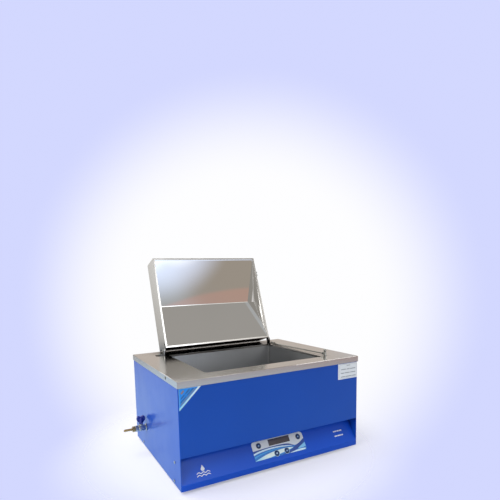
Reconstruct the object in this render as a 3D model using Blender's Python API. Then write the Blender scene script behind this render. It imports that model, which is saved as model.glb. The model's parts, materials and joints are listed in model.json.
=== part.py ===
"""Laboratory water bath: painted casing, stainless deck and tank, hinged lid, drain valve and controls.

The parts are laid out in the cabinet's own frame: X runs right from the left side, Y runs back from
the front face and Z runs up from the casing's lower edge. One empty carries that frame, so that the
finished object stands with its feet on Z = 0 and the middle of its whole box on X = Y = 0.
"""
import math

import bmesh
import bpy
from mathutils import Matrix, Vector

# Driving dimensions, in metres.
WIDTH = 0.600
DEPTH = 0.430
HEIGHT = 0.290
SHEET = 0.0012
GAP = 0.0003
FOOT_HEIGHT = 0.008

# Recess for the controls.
OVERHANG_Z = 0.089
LIP_Z = 0.016
RECESS_DEPTH = 0.046

# Deck and tank.
DECK_PROUD = 0.0016
DECK_FLANGE = 0.018
OPENING_LOW = (0.100, 0.050)
OPENING_HIGH = (0.500, 0.350)
OPENING_LIP = 0.006
OPENING_CORNER = 0.003
TANK_WALL = 0.001
TANK_MARGIN = 0.002
TANK_FLOOR_Z = 0.098
TANK_CORNER = 0.006

# Lid, described closed.
LID_LOW = (0.093, 0.039)
LID_HIGH = (0.507, 0.361)
LID_THICKNESS = 0.075
LID_SHEET = 0.001
LID_HEM = 0.006
LID_EDGE = 0.003
LID_RIM_Z = HEIGHT + GAP
LINER_SHEET = 0.0008
LINER_RISE = 0.0467
LINER_RIDGE = 0.515
LID_OPEN_ANGLE = math.radians(108.8)
HINGE_BACK = 0.0062
HINGE_UP = 0.0139
HINGE = Vector((0.0, LID_HIGH[1] + HINGE_BACK, LID_RIM_Z + HINGE_UP))
LUG_SHEET = 0.0025
EAR_SHEET = 0.002
PIN_RADIUS = 0.0025
PIN_CLEARANCE = 0.0001

# Lid handle.
HANDLE_SPAN = 0.120
HANDLE_HEIGHT = 0.028
HANDLE_RADIUS = 0.0045
HANDLE_Y = 0.138

# Lid stay.
STAY_PIVOT = Vector((0.515, 0.059, 0.297))
STAY_LENGTH = 0.277
STAY_RADIUS = 0.002
POST_X = 0.522
POST_RADIUS = 0.004

# Drain valve: its pipe leaves the left side along -X.
VALVE_Y = 0.305
VALVE_Z = 0.074
VALVE_STEM_X = -0.0175
VALVE_BODY_END = -0.037
VALVE_REACH = 0.073
BALL_RADIUS = 0.0065

# Screws.
HEAD_RADIUS = 0.0042
HEAD_HEIGHT = 0.0021
SHANK_RADIUS = 0.0018
HOLE_RADIUS = 0.0022
SIDE_SCREWS = ((0.050, 0.009), (0.345, 0.010), (0.042, 0.064))
FLANGE_SCREW = (0.089, 0.281)
REAR_SCREWS = ((0.008, 0.020), (0.592, 0.020), (0.008, 0.250), (0.592, 0.250))

# Controls, as (X, distance up the slope from its lower fold).
OVERLAY_LOW = (0.226, 0.012)
OVERLAY_HIGH = (0.406, 0.0655)
WINDOW_LOW = (0.283, 0.045)
WINDOW_HIGH = (0.357, 0.063)
BUTTONS = ((0.249, 0.0522), (0.388, 0.0520), (0.301, 0.0205), (0.3365, 0.0210))
BUTTON_RADIUS = 0.0062
BUTTON_CLEARANCE = 0.0004
BUTTON_TOP = 0.0021

# Mains inlet and fuse on the rear panel.
INLET_X = 0.520
INLET_Z = 0.055
FUSE_X = 0.465

COLOURS = {
    "painted blue": ((0.020, 0.085, 0.46, 1.0), 0.35, 0.0),
    "polished stainless": ((0.72, 0.70, 0.66, 1.0), 0.15, 1.0),
    "satin stainless": ((0.62, 0.64, 0.66, 1.0), 0.38, 1.0),
    "mirror stainless": ((0.86, 0.86, 0.86, 1.0), 0.04, 1.0),
    "galvanised steel": ((0.55, 0.57, 0.60, 1.0), 0.5, 1.0),
    "chrome": ((0.85, 0.85, 0.86, 1.0), 0.10, 1.0),
    "brass": ((0.78, 0.55, 0.22, 1.0), 0.28, 1.0),
    "black rubber": ((0.02, 0.02, 0.02, 1.0), 0.8, 0.0),
    "dark blue plastic": ((0.005, 0.012, 0.24, 1.0), 0.15, 0.0),
    "overlay film": ((0.62, 0.66, 0.72, 1.0), 0.35, 0.0),
    "button plastic": ((0.03, 0.10, 0.25, 1.0), 0.3, 0.0),
    "dark window": ((0.09, 0.05, 0.06, 1.0), 0.15, 0.0),
    "circuit board": ((0.02, 0.20, 0.07, 1.0), 0.5, 0.0),
    "black plastic": ((0.03, 0.03, 0.035, 1.0), 0.45, 0.0),
    "mineral wool": ((0.72, 0.66, 0.45, 1.0), 0.95, 0.0),
}

X_AXIS = Vector((1.0, 0.0, 0.0))
Y_AXIS = Vector((0.0, 1.0, 0.0))
Z_AXIS = Vector((0.0, 0.0, 1.0))

# Sloping control face: directions up the slope and straight out of it.
SLOPE_UP = Vector((0.0, RECESS_DEPTH, OVERHANG_Z - LIP_Z)).normalized()
SLOPE_OUT = X_AXIS.cross(SLOPE_UP)
REAR_FACE_Y = DEPTH


# ---------------------------------------------------------------- scene helpers

def clear_scene():
    """Remove every object, so that the script can run again in the same file."""
    for obj in list(bpy.data.objects):
        bpy.data.objects.remove(obj, do_unlink=True)


def material(name):
    """Return the named material, made on first use."""
    if name in bpy.data.materials:
        return bpy.data.materials[name]
    colour, roughness, metallic = COLOURS[name]
    made = bpy.data.materials.new(name)
    made.use_nodes = True
    shader = made.node_tree.nodes["Principled BSDF"]
    shader.inputs["Base Color"].default_value = colour
    shader.inputs["Roughness"].default_value = roughness
    shader.inputs["Metallic"].default_value = metallic
    return made


def add_empty(name, location, rotation=(0.0, 0.0, 0.0), parent=None):
    """Add an empty that carries a frame or a joint axis."""
    empty = bpy.data.objects.new(name, None)
    empty.location = location
    empty.rotation_euler = rotation
    empty.parent = parent
    bpy.context.scene.collection.objects.link(empty)
    return empty


def finish(name, bm, surface, parent, origin=(0.0, 0.0, 0.0), at_origin=False):
    """Turn a closed bmesh into an object whose own origin is the given point.

    The mesh is drawn in the cabinet's frame. With at_origin, the parent's frame is already at that
    point, so the object sits on its parent without an offset.
    """
    bmesh.ops.recalc_face_normals(bm, faces=bm.faces)
    bmesh.ops.translate(bm, verts=bm.verts, vec=-Vector(origin))
    mesh = bpy.data.meshes.new(name)
    bm.to_mesh(mesh)
    bm.free()
    mesh.shade_smooth()
    mesh.set_sharp_from_angle(angle=math.radians(32.0))
    mesh.materials.append(material(surface))
    obj = bpy.data.objects.new(name, mesh)
    obj.location = (0.0, 0.0, 0.0) if at_origin else origin
    obj.parent = parent
    bpy.context.scene.collection.objects.link(obj)
    return obj


def combine(bm, other, operation):
    """Return the boolean of two closed bmeshes and free both."""
    pair = []
    for label, source in (("boolean_base", bm), ("boolean_tool", other)):
        bmesh.ops.recalc_face_normals(source, faces=source.faces)
        mesh = bpy.data.meshes.new(label)
        source.to_mesh(mesh)
        source.free()
        obj = bpy.data.objects.new(label, mesh)
        bpy.context.scene.collection.objects.link(obj)
        pair.append(obj)
    base, tool = pair
    modifier = base.modifiers.new("boolean", "BOOLEAN")
    modifier.operation = operation
    modifier.object = tool
    bpy.context.view_layer.update()
    evaluated = base.evaluated_get(bpy.context.evaluated_depsgraph_get())
    result = bmesh.new()
    result.from_mesh(evaluated.to_mesh())
    for obj in pair:
        bpy.data.objects.remove(obj, do_unlink=True)
    return result


def cut(bm, tool):
    return combine(bm, tool, "DIFFERENCE")


def join(bm, other):
    return combine(bm, other, "UNION")


# ---------------------------------------------------------------- shape helpers

def box(low, high, bm=None):
    """Add a cuboid between two corners."""
    bm = bm or bmesh.new()
    middle = (Vector(low) + Vector(high)) / 2
    size = Vector(high) - Vector(low)
    matrix = Matrix.Translation(middle) @ Matrix.Diagonal((*size, 1.0))
    bmesh.ops.create_cube(bm, size=1.0, matrix=matrix)
    return bm


def prism(outline, place, bm=None):
    """Add a prism: place(a, b, end) maps an outline's point to its start (0) and end (1) face."""
    bm = bm or bmesh.new()
    start = [bm.verts.new(place(a, b, 0)) for a, b in outline]
    end = [bm.verts.new(place(a, b, 1)) for a, b in outline]
    bm.faces.new(start)
    bm.faces.new(list(reversed(end)))
    count = len(outline)
    for i in range(count):
        j = (i + 1) % count
        bm.faces.new((start[j], start[i], end[i], end[j]))
    return bm


def prism_x(outline, x_low, x_high, bm=None):
    """Prism whose outline lies in Y and Z."""
    return prism(outline, lambda a, b, end: (x_high if end else x_low, a, b), bm)


def prism_y(outline, y_low, y_high, bm=None):
    """Prism whose outline lies in X and Z."""
    return prism(outline, lambda a, b, end: (a, y_high if end else y_low, b), bm)


def prism_z(outline, z_low, z_high, bm=None):
    """Prism whose outline lies in X and Y."""
    return prism(outline, lambda a, b, end: (a, b, z_high if end else z_low), bm)


def arc(centre, radius, start, end, steps):
    """Points along an arc, angles in degrees."""
    points = []
    for i in range(steps + 1):
        angle = math.radians(start + (end - start) * i / steps)
        points.append((centre[0] + radius * math.cos(angle), centre[1] + radius * math.sin(angle)))
    return points


def rounded_rectangle(low, high, radius, steps=3):
    """Outline of a rectangle with round corners."""
    outline = []
    corners = (
        ((high[0] - radius, low[1] + radius), -90),
        ((high[0] - radius, high[1] - radius), 0),
        ((low[0] + radius, high[1] - radius), 90),
        ((low[0] + radius, low[1] + radius), 180),
    )
    for centre, start in corners:
        outline += arc(centre, radius, start, start + 90, steps)
    return outline


def bent_sheet(face, thickness):
    """Closed outline of a folded sheet: its outer face's points, and those a thickness to the left."""
    points = [Vector(point) for point in face]
    inner = []
    for i, point in enumerate(points):
        ahead = (points[min(i + 1, len(points) - 1)] - point).normalized()
        behind = (point - points[max(i - 1, 0)]).normalized()
        if i == 0:
            behind = ahead
        if i == len(points) - 1:
            ahead = behind
        left_ahead = Vector((-ahead.y, ahead.x))
        left_behind = Vector((-behind.y, behind.x))
        mitre = (left_ahead + left_behind).normalized()
        inner.append(point + mitre * thickness / mitre.dot(left_ahead))
    return [tuple(point) for point in points + inner[::-1]]


def turned(profile, origin, axis, steps=24, closed=False, bm=None):
    """Turn (radius, distance) pairs about an axis; a closed profile makes a tube."""
    bm = bm or bmesh.new()
    turn = Z_AXIS.rotation_difference(axis.normalized()).to_matrix()
    rings = []
    for radius, distance in profile:
        if radius < 1e-7:
            rings.append([bm.verts.new(Vector(origin) + turn @ Vector((0.0, 0.0, distance)))])
            continue
        ring = []
        for i in range(steps):
            angle = 2 * math.pi * i / steps
            local = Vector((radius * math.cos(angle), radius * math.sin(angle), distance))
            ring.append(bm.verts.new(Vector(origin) + turn @ local))
        rings.append(ring)
    pairs = list(zip(rings, rings[1:]))
    if closed:
        pairs.append((rings[-1], rings[0]))
    for lower, upper in pairs:
        for i in range(steps):
            j = (i + 1) % steps
            if len(lower) == 1:
                bm.faces.new((lower[0], upper[i], upper[j]))
            elif len(upper) == 1:
                bm.faces.new((lower[i], lower[j], upper[0]))
            else:
                bm.faces.new((lower[i], lower[j], upper[j], upper[i]))
    return bm


def rod(start, end, radius, steps=16, bm=None):
    """Plain round bar between two points."""
    start, end = Vector(start), Vector(end)
    length = (end - start).length
    return turned([(0, 0), (radius, 0), (radius, length), (0, length)], start, end - start, steps, bm=bm)


def rounded_path(corners, radius, steps=5):
    """Polyline through the corners, each inner corner rounded by an arc."""
    corners = [Vector(corner) for corner in corners]
    path = [corners[0]]
    for before, corner, after in zip(corners, corners[1:], corners[2:]):
        to_before = (before - corner).normalized()
        to_after = (after - corner).normalized()
        half = to_before.angle(to_after) / 2
        reach = radius / math.tan(half)
        centre = corner + (to_before + to_after).normalized() * radius / math.sin(half)
        start = corner + to_before * reach - centre
        end = corner + to_after * reach - centre
        for i in range(steps + 1):
            path.append(centre + start.slerp(end, i / steps).normalized() * radius)
    path.append(corners[-1])
    return path


def swept(path, side, radius, inner=None, steps=10):
    """Sweep a round section along a flat path; side is square to the path's plane."""
    bm = bmesh.new()
    side = Vector(side).normalized()
    radii = [radius] if inner is None else [radius, inner]
    skins = []
    for section in radii:
        rings = []
        for i, point in enumerate(path):
            ahead = path[min(i + 1, len(path) - 1)]
            behind = path[max(i - 1, 0)]
            across = (ahead - behind).normalized().cross(side)
            ring = []
            for k in range(steps):
                angle = 2 * math.pi * k / steps
                offset = side * math.cos(angle) + across * math.sin(angle)
                ring.append(bm.verts.new(point + offset * section))
            rings.append(ring)
        for lower, upper in zip(rings, rings[1:]):
            for k in range(steps):
                j = (k + 1) % steps
                bm.faces.new((lower[k], lower[j], upper[j], upper[k]))
        skins.append(rings)
    for end in (0, -1):
        if inner is None:
            bm.faces.new(skins[0][end])
            continue
        for k in range(steps):
            j = (k + 1) % steps
            outer_ring, inner_ring = skins[0][end], skins[1][end]
            bm.faces.new((outer_ring[k], outer_ring[j], inner_ring[j], inner_ring[k]))
    return bm


def bevel_edges(bm, choose, width, segments=2):
    """Round the edges that choose(edge) picks."""
    edges = [edge for edge in bm.edges if choose(edge)]
    bmesh.ops.bevel(bm, geom=edges, offset=width, segments=segments, profile=0.5, affect="EDGES")


def on_slope(x, up, out):
    """Point on the sloping control face: across, up the slope, and out of its face."""
    fold = Vector((x, 0.0, LIP_Z))
    return fold + SLOPE_UP * up + SLOPE_OUT * out


def slope_prism(outline, out_low, out_high, bm=None):
    """Prism whose outline is (X, distance up the slope), standing on the sloping face."""
    return prism(outline, lambda a, b, end: on_slope(a, b, out_high if end else out_low), bm)


def rectangle(low, high, grow=0.0):
    """Outline of a plain rectangle, optionally grown on every side."""
    x0, y0 = low[0] - grow, low[1] - grow
    x1, y1 = high[0] + grow, high[1] + grow
    return [(x0, y0), (x1, y0), (x1, y1), (x0, y1)]


def screw(head, direction, shank, head_radius=HEAD_RADIUS, head_height=HEAD_HEIGHT):
    """Pan-head screw: head is the point under the head, direction points out of the head."""
    r, h = head_radius, head_height
    profile = [
        (0, h),
        (0.62 * r, 0.93 * h),
        (0.92 * r, 0.62 * h),
        (r, 0.2 * h),
        (r, 0),
        (SHANK_RADIUS, 0),
        (SHANK_RADIUS, -shank),
        (0, -shank),
    ]
    return turned(profile, head, Vector(direction), steps=12)


# ---------------------------------------------------------------- casing

def build_casing(frame):
    """Wrapper bent from one sheet: left side, front with its overhang, right side."""
    back = REAR_FACE_Y - SHEET - GAP
    bend = 0.002
    face = [(0.014, back), (0.0, back)]
    face += arc((bend, bend), bend, 180, 270, 4)
    face += arc((WIDTH - bend, bend), bend, 270, 360, 4)
    face += [(WIDTH, back), (WIDTH - 0.014, back)]
    bm = prism_z(bent_sheet(face, SHEET), 0.0, HEIGHT - SHEET - GAP)
    ceiling_back = RECESS_DEPTH - 0.0015
    ceiling = box((0.002, 0.0006, OVERHANG_Z - 0.0005), (WIDTH - 0.002, ceiling_back, OVERHANG_Z + SHEET))
    bm = join(bm, ceiling)
    recess = box((SHEET, -0.005, -0.001), (WIDTH - SHEET, RECESS_DEPTH + 0.004, OVERHANG_Z))
    bm = cut(bm, recess)
    drills = bmesh.new()
    for y, z in SIDE_SCREWS + (FLANGE_SCREW,):
        rod((-0.01, y, z), (0.01, y, z), HOLE_RADIUS, 10, drills)
        rod((WIDTH - 0.01, y, z), (WIDTH + 0.01, y, z), HOLE_RADIUS, 10, drills)
    for x, z in REAR_SCREWS:
        rod((x, DEPTH - 0.01, z), (x, DEPTH + 0.01, z), HOLE_RADIUS, 10, drills)
    rod((-0.01, VALVE_Y, VALVE_Z), (0.01, VALVE_Y, VALVE_Z), 0.0076, 20, drills)
    finish("casing_wrapper", cut(bm, drills), "painted blue", frame)


def build_fascia(frame):
    """Sloping control panel with its lip, a tab behind the overhang and an end flange on each side."""
    face = [(RECESS_DEPTH, OVERHANG_Z + 0.0065), (RECESS_DEPTH, OVERHANG_Z)]
    face += [(0.0, LIP_Z), (0.0, 0.0), (0.016, 0.0)]
    left, right = SHEET + GAP, WIDTH - SHEET - GAP
    bm = prism_x(bent_sheet(face, SHEET), left, right)
    for x_low in (left, right - SHEET):
        tab = [tuple(on_slope(0, up, out).yz) for up, out in ((0.036, -0.0005), (0.036, -0.022))]
        tab += [tuple(on_slope(0, up, out).yz) for up, out in ((0.070, -0.022), (0.070, -0.0005))]
        bm = join(bm, prism_x(tab, x_low, x_low + SHEET))
    tools = control_holes()
    y, z = SIDE_SCREWS[2]
    for x in (left, right):
        rod((x - 0.004, y, z), (x + 0.004, y, z), HOLE_RADIUS, 10, tools)
    finish("control_fascia", cut(bm, tools), "painted blue", frame)


def control_holes():
    """Cutter for the display window and the buttons, square through the sloping face."""
    tools = slope_prism(rectangle(WINDOW_LOW, WINDOW_HIGH), -0.004, 0.004)
    for x, up in BUTTONS:
        rod(on_slope(x, up, -0.004), on_slope(x, up, 0.004), BUTTON_RADIUS + BUTTON_CLEARANCE, 20, tools)
    return tools


def build_base(frame):
    """Base plate with an upright flange on each side."""
    low = SHEET + GAP
    front, back = low, DEPTH - 2 * SHEET - 3 * GAP
    face = [(low, 0.020), (low, low), (WIDTH - low, low), (WIDTH - low, 0.020)]
    bm = prism_y(bent_sheet(face, SHEET), front + 0.006, back)
    drills = bmesh.new()
    for y, z in SIDE_SCREWS[:2]:
        rod((-0.01, y, z), (0.01, y, z), HOLE_RADIUS, 10, drills)
        rod((WIDTH - 0.01, y, z), (WIDTH + 0.01, y, z), HOLE_RADIUS, 10, drills)
    finish("base_plate", cut(bm, drills), "galvanised steel", frame)


def build_feet(frame):
    """Four tapered rubber feet under the base plate."""
    top = SHEET
    inset = 0.040
    corners = {
        "foot_front_left": (inset, inset),
        "foot_front_right": (WIDTH - inset, inset),
        "foot_rear_left": (inset, DEPTH - inset),
        "foot_rear_right": (WIDTH - inset, DEPTH - inset),
    }
    sole = -FOOT_HEIGHT
    profile = [(0, sole), (0.0115, sole), (0.013, sole + 0.0015), (0.014, top), (0, top)]
    for name, (x, y) in corners.items():
        finish(name, turned(profile, (x, y, 0.0), Z_AXIS, 20), "black rubber", frame, (x, y, 0.0))


def build_rear_panel(frame):
    """Rear panel with louvre slots and holes for the inlet and the fuse."""
    bm = box((0.001, DEPTH - SHEET, 0.002), (WIDTH - 0.001, DEPTH, HEIGHT - 0.002))
    tools = bmesh.new()
    for group in (0.120, 0.300):
        for row in range(6):
            z = 0.150 + 0.014 * row
            outline = rounded_rectangle((group, z), (group + 0.120, z + 0.004), 0.0019, 2)
            prism_y(outline, DEPTH - 0.01, DEPTH + 0.01, tools)
    for x, z in REAR_SCREWS:
        rod((x, DEPTH - 0.01, z), (x, DEPTH + 0.01, z), HOLE_RADIUS, 10, tools)
    window = rectangle((INLET_X - 0.014, INLET_Z - 0.010), (INLET_X + 0.014, INLET_Z + 0.010), 0.0005)
    prism_y(window, DEPTH - 0.01, DEPTH + 0.01, tools)
    rod((FUSE_X, DEPTH - 0.01, INLET_Z), (FUSE_X, DEPTH + 0.01, INLET_Z), 0.0065, 20, tools)
    finish("rear_panel", cut(bm, tools), "painted blue", frame)


def build_rear_fittings(frame):
    """Mains inlet with its three blades, and the fuse holder."""
    face = DEPTH + GAP
    outline = rounded_rectangle((INLET_X - 0.025, INLET_Z - 0.014), (INLET_X + 0.025, INLET_Z + 0.014), 0.006)
    flange = prism_y(outline, face, face + 0.0022)

    def block(dx, dz, half_x, half_z, y_low, y_high):
        x, z = INLET_X + dx, INLET_Z + dz
        return box((x - half_x, face + y_low, z - half_z), (x + half_x, face + y_high, z + half_z))

    inlet = join(flange, block(0, 0, 0.014, 0.010, -0.026, 0.001))
    inlet = cut(inlet, block(0, 0, 0.012, 0.008, -0.018, 0.01))
    for dx, dz in ((-0.007, -0.002), (0.0, 0.003), (0.007, -0.002)):
        inlet = join(inlet, block(dx, dz, 0.001, 0.002, -0.019, -0.004))
    finish("mains_inlet", inlet, "black plastic", frame, (INLET_X, face, INLET_Z))
    profile = [(0, 0.0022), (0.0072, 0.0022), (0.0085, 0.0012), (0.0085, 0)]
    profile += [(0.006, 0), (0.006, -0.028), (0, -0.028)]
    fuse = turned(profile, (FUSE_X, face, INLET_Z), Y_AXIS, 20)
    finish("fuse_holder", fuse, "black plastic", frame, (FUSE_X, face, INLET_Z))


# ---------------------------------------------------------------- deck and tank

def build_deck(frame):
    """Deck plate with a turned-down flange outside and a short lip round the opening."""
    top = HEIGHT
    low = (-DECK_PROUD, -DECK_PROUD)
    high = (WIDTH + DECK_PROUD, DEPTH + DECK_PROUD)
    bm = box((*low, top - DECK_FLANGE), (*high, top))
    bevel_edges(bm, lambda e: all(v.co.z > top - 1e-5 for v in e.verts), 0.0012)
    wall = SHEET
    cavity = box((low[0] + wall, low[1] + wall, top - 0.05), (high[0] - wall, high[1] - wall, top - wall))
    lip_low = (OPENING_LOW[0] - wall, OPENING_LOW[1] - wall)
    lip_high = (OPENING_HIGH[0] + wall, OPENING_HIGH[1] + wall)
    lip = rounded_rectangle(lip_low, lip_high, OPENING_CORNER + wall, 4)
    cavity = cut(cavity, prism_z(lip, top - OPENING_LIP, top + 0.01))
    bm = cut(bm, cavity)
    tools = prism_z(rounded_rectangle(OPENING_LOW, OPENING_HIGH, OPENING_CORNER, 4), top - 0.05, top + 0.01)
    for x, y in bracket_screws():
        rod((x, y, top - 0.005), (x, y, top + 0.01), HOLE_RADIUS, 10, tools)
    rod((POST_X, STAY_PIVOT.y, top - 0.005), (POST_X, STAY_PIVOT.y, top + 0.01), 0.0028, 12, tools)
    y, z = FLANGE_SCREW
    rod((-0.01, y, z), (0.01, y, z), HOLE_RADIUS, 10, tools)
    rod((WIDTH - 0.01, y, z), (WIDTH + 0.01, y, z), HOLE_RADIUS, 10, tools)
    finish("deck", cut(bm, tools), "polished stainless", frame)


def build_tank(frame):
    """Welded tank with a flange under the deck, a drain hole and three holes in its right wall."""
    inner_low = (OPENING_LOW[0] - TANK_MARGIN, OPENING_LOW[1] - TANK_MARGIN)
    inner_high = (OPENING_HIGH[0] + TANK_MARGIN, OPENING_HIGH[1] + TANK_MARGIN)
    top = HEIGHT - SHEET - GAP
    outer_low = (inner_low[0] - TANK_WALL, inner_low[1] - TANK_WALL)
    outer_high = (inner_high[0] + TANK_WALL, inner_high[1] + TANK_WALL)
    outer = prism_z(rounded_rectangle(outer_low, outer_high, TANK_CORNER), TANK_FLOOR_Z - TANK_WALL, top)
    rim = prism_z(rectangle(inner_low, inner_high, 0.011), top - 0.001, top)
    hollow = prism_z(rounded_rectangle(inner_low, inner_high, TANK_CORNER), TANK_FLOOR_Z, HEIGHT + 0.01)
    bm = cut(join(outer, rim), hollow)
    drills = rod((0.130, VALVE_Y, 0.09), (0.130, VALVE_Y, 0.12), 0.005, 16)
    wall_x = inner_high[0]
    for y, radius in ((0.120, 0.0044), (0.280, 0.0044), (0.200, 0.0034)):
        rod((wall_x - 0.005, y, 0.105), (wall_x + 0.005, y, 0.105), radius, 12, drills)
    finish("tank", cut(bm, drills), "satin stainless", frame)


def build_tank_fittings(frame):
    """Perforated shelf, tubular heater and temperature probe inside the tank."""
    low, high = (0.104, 0.054), (0.496, 0.346)
    leg_end, shelf_top = TANK_FLOOR_Z + 0.0004, 0.118
    face = [(high[1], leg_end), (high[1], shelf_top), (low[1], shelf_top), (low[1], leg_end)]
    shelf = prism_x(bent_sheet(face, 0.001), low[0], high[0])
    holes = bmesh.new()
    for column in range(8):
        for row in range(6):
            x = low[0] + 0.028 + 0.048 * column
            y = low[1] + 0.026 + 0.048 * row
            rod((x, y, 0.11), (x, y, 0.125), 0.008, 8, holes)
    finish("tank_shelf", cut(shelf, holes), "polished stainless", frame)
    z = 0.105
    loop = rounded_path([(0.518, 0.120, z), (0.150, 0.120, z), (0.150, 0.280, z), (0.518, 0.280, z)], 0.030)
    finish("heater_element", swept(loop, Z_AXIS, 0.004), "satin stainless", frame)
    profile = [(0, 0), (0.002, 0.0005), (0.003, 0.003), (0.003, 0.085), (0, 0.085)]
    probe = turned(profile, (0.432, 0.200, z), X_AXIS, 12)
    finish("temperature_probe", probe, "satin stainless", frame)


def build_insulation(frame):
    """Mineral wool jacket round the tank's walls."""
    z_low, z_high = 0.110, 0.278
    clear = TANK_MARGIN + TANK_WALL + 0.0004
    inner = rectangle(OPENING_LOW, OPENING_HIGH, clear)
    outer = rectangle(OPENING_LOW, OPENING_HIGH, clear + 0.020)
    bm = cut(prism_z(outer, z_low, z_high), prism_z(inner, z_low - 0.01, z_high + 0.01))
    finish("tank_insulation", bm, "mineral wool", frame)


# ---------------------------------------------------------------- drain

def build_drain(frame):
    """Pipe from the tank floor to the valve, and its locknut inside the casing."""
    below_tank = TANK_FLOOR_Z - TANK_WALL - GAP
    corners = [(0.130, VALVE_Y, below_tank), (0.130, VALVE_Y, VALVE_Z), (-0.0065, VALVE_Y, VALVE_Z)]
    pipe = swept(rounded_path(corners, 0.018), Y_AXIS, 0.007, 0.005, 16)
    finish("drain_pipe", pipe, "satin stainless", frame)
    hexagon = arc((VALVE_Y, VALVE_Z), 0.0135, 0, 300, 5)
    nut = prism_x(hexagon, SHEET + GAP, SHEET + GAP + 0.006)
    nut = cut(nut, rod((-0.01, VALVE_Y, VALVE_Z), (0.02, VALVE_Y, VALVE_Z), 0.0073, 20))
    finish("drain_locknut", nut, "brass", frame, (0.0, VALVE_Y, VALVE_Z))


def build_valve(frame):
    """Ball valve on the left side: body, hose barb, ball with its stem, and a winged handle."""
    centre = Vector((0.0, VALVE_Y, VALVE_Z))
    out = -X_AXIS
    end = -VALVE_BODY_END
    stem_at = -VALVE_STEM_X
    shell = turned([
        (0, 0.0004), (0.011, 0.0004), (0.011, 0.003), (0.0088, 0.0042), (0.0088, 0.009), (0.0096, 0.0105),
        (0.0096, 0.025), (0.0088, 0.0265), (0.0098, 0.0285), (0.0098, end), (0, end)], centre, out)
    bonnet_top = VALVE_Z + 0.0130
    bonnet = rod((VALVE_STEM_X, VALVE_Y, VALVE_Z), (VALVE_STEM_X, VALVE_Y, bonnet_top), 0.0058, 16)
    body = join(shell, bonnet)
    bores = turned([
        (0, -0.001), (0.0073, -0.001), (0.0073, 0.0072), (0.004, 0.0072), (0.004, 0.0105),
        (0.0071, 0.0105), (0.0071, end + 0.001), (0, end + 0.001)], centre, out, 20)
    body = cut(body, bores)
    stem_hole = rod((VALVE_STEM_X, VALVE_Y, VALVE_Z), (VALVE_STEM_X, VALVE_Y, bonnet_top + 0.001), 0.0027, 12)
    finish("valve_body", cut(body, stem_hole), "chrome", frame, centre)

    barb_start, barb_collar, tip = 0.0250, end + GAP, VALVE_REACH
    profile = [(0.0025, barb_start), (0.0067, barb_start), (0.0067, end + GAP / 2), (0.0088, barb_collar)]
    profile += [(0.0088, 0.0455), (0.0030, 0.0465)]
    ridge_length = 0.0062
    first_ridge = 0.0475
    for ridge in range(4):
        start = first_ridge + ridge * ridge_length
        profile += [(0.0030, start), (0.0042, start + 0.0008), (0.0034, start + ridge_length - 0.0002)]
    profile += [(0.0032, tip), (0.0025, tip)]
    barb = turned(profile, centre, out, 20, closed=True)
    finish("hose_barb", barb, "brass", frame, centre)

    axis = Vector((VALVE_STEM_X, VALVE_Y, VALVE_Z))
    profile = [(0, -BALL_RADIUS)] + arc((0, 0), BALL_RADIUS, -72, 72, 8) + [(0, BALL_RADIUS)]
    ball = turned(profile, axis, Z_AXIS, 20)
    ball = cut(ball, rod(axis - X_AXIS * 0.01, axis + X_AXIS * 0.01, 0.0035, 16))
    ball = join(ball, rod(axis + Z_AXIS * 0.0050, axis + Z_AXIS * 0.0250, 0.0022, 12))
    turn = add_empty("valve_axis", axis, parent=frame)
    finish("valve_ball_stem", ball, "satin stainless", turn, axis, at_origin=True)

    base = bonnet_top + 0.0004
    profile = [(0, 0), (0.0062, 0), (0.0068, 0.003), (0.0068, 0.018), (0.0055, 0.0225), (0, 0.0235)]
    hub = turned(profile, (VALVE_STEM_X, VALVE_Y, base), Z_AXIS, 20)
    wing_low, wing_high = base + 0.004, base + 0.0265
    span, wing_round = 0.0142, 0.0100
    outline = arc((VALVE_STEM_X - span + wing_round, wing_high - wing_round), wing_round, 180, 90, 5)
    outline += [(VALVE_STEM_X, wing_high - 0.003)]
    outline += arc((VALVE_STEM_X + span - wing_round, wing_high - wing_round), wing_round, 90, 0, 5)
    outline += [(VALVE_STEM_X + 0.006, wing_low), (VALVE_STEM_X - 0.006, wing_low)]
    wings = prism_y(outline, VALVE_Y - 0.0042, VALVE_Y + 0.0042)
    bevel_edges(wings, lambda e: abs(e.verts[0].co.y - e.verts[1].co.y) < 1e-6, 0.002)
    handle = join(hub, wings)
    socket = rod((VALVE_STEM_X, VALVE_Y, base - 0.001), (VALVE_STEM_X, VALVE_Y, VALVE_Z + 0.0255), 0.0026, 12)
    finish("valve_handle", cut(handle, socket), "dark blue plastic", turn, axis, at_origin=True)


# ---------------------------------------------------------------- lid

def build_lid_shell(axis):
    """Outer lid box, open below, its skirts hemmed inward at the rim."""
    top = LID_RIM_Z + LID_THICKNESS
    bm = box((*LID_LOW, LID_RIM_Z), (*LID_HIGH, top))
    bevel_edges(bm, lambda e: min(v.co.z for v in e.verts) > top - 1e-5, LID_EDGE)
    s = LID_SHEET
    cavity = box((LID_LOW[0] + s, LID_LOW[1] + s, LID_RIM_Z + s), (LID_HIGH[0] - s, LID_HIGH[1] - s, top - s))
    bevel_edges(cavity, lambda e: min(v.co.z for v in e.verts) > top - s - 1e-5, 0.002)
    mouth = box((LID_LOW[0] + LID_HEM, LID_LOW[1] + LID_HEM, LID_RIM_Z - 0.01),
                (LID_HIGH[0] - LID_HEM, LID_HIGH[1] - LID_HEM, LID_RIM_Z + 2 * s))
    finish("lid_shell", cut(bm, join(cavity, mouth)), "polished stainless", axis, HINGE, at_origin=True)


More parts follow.
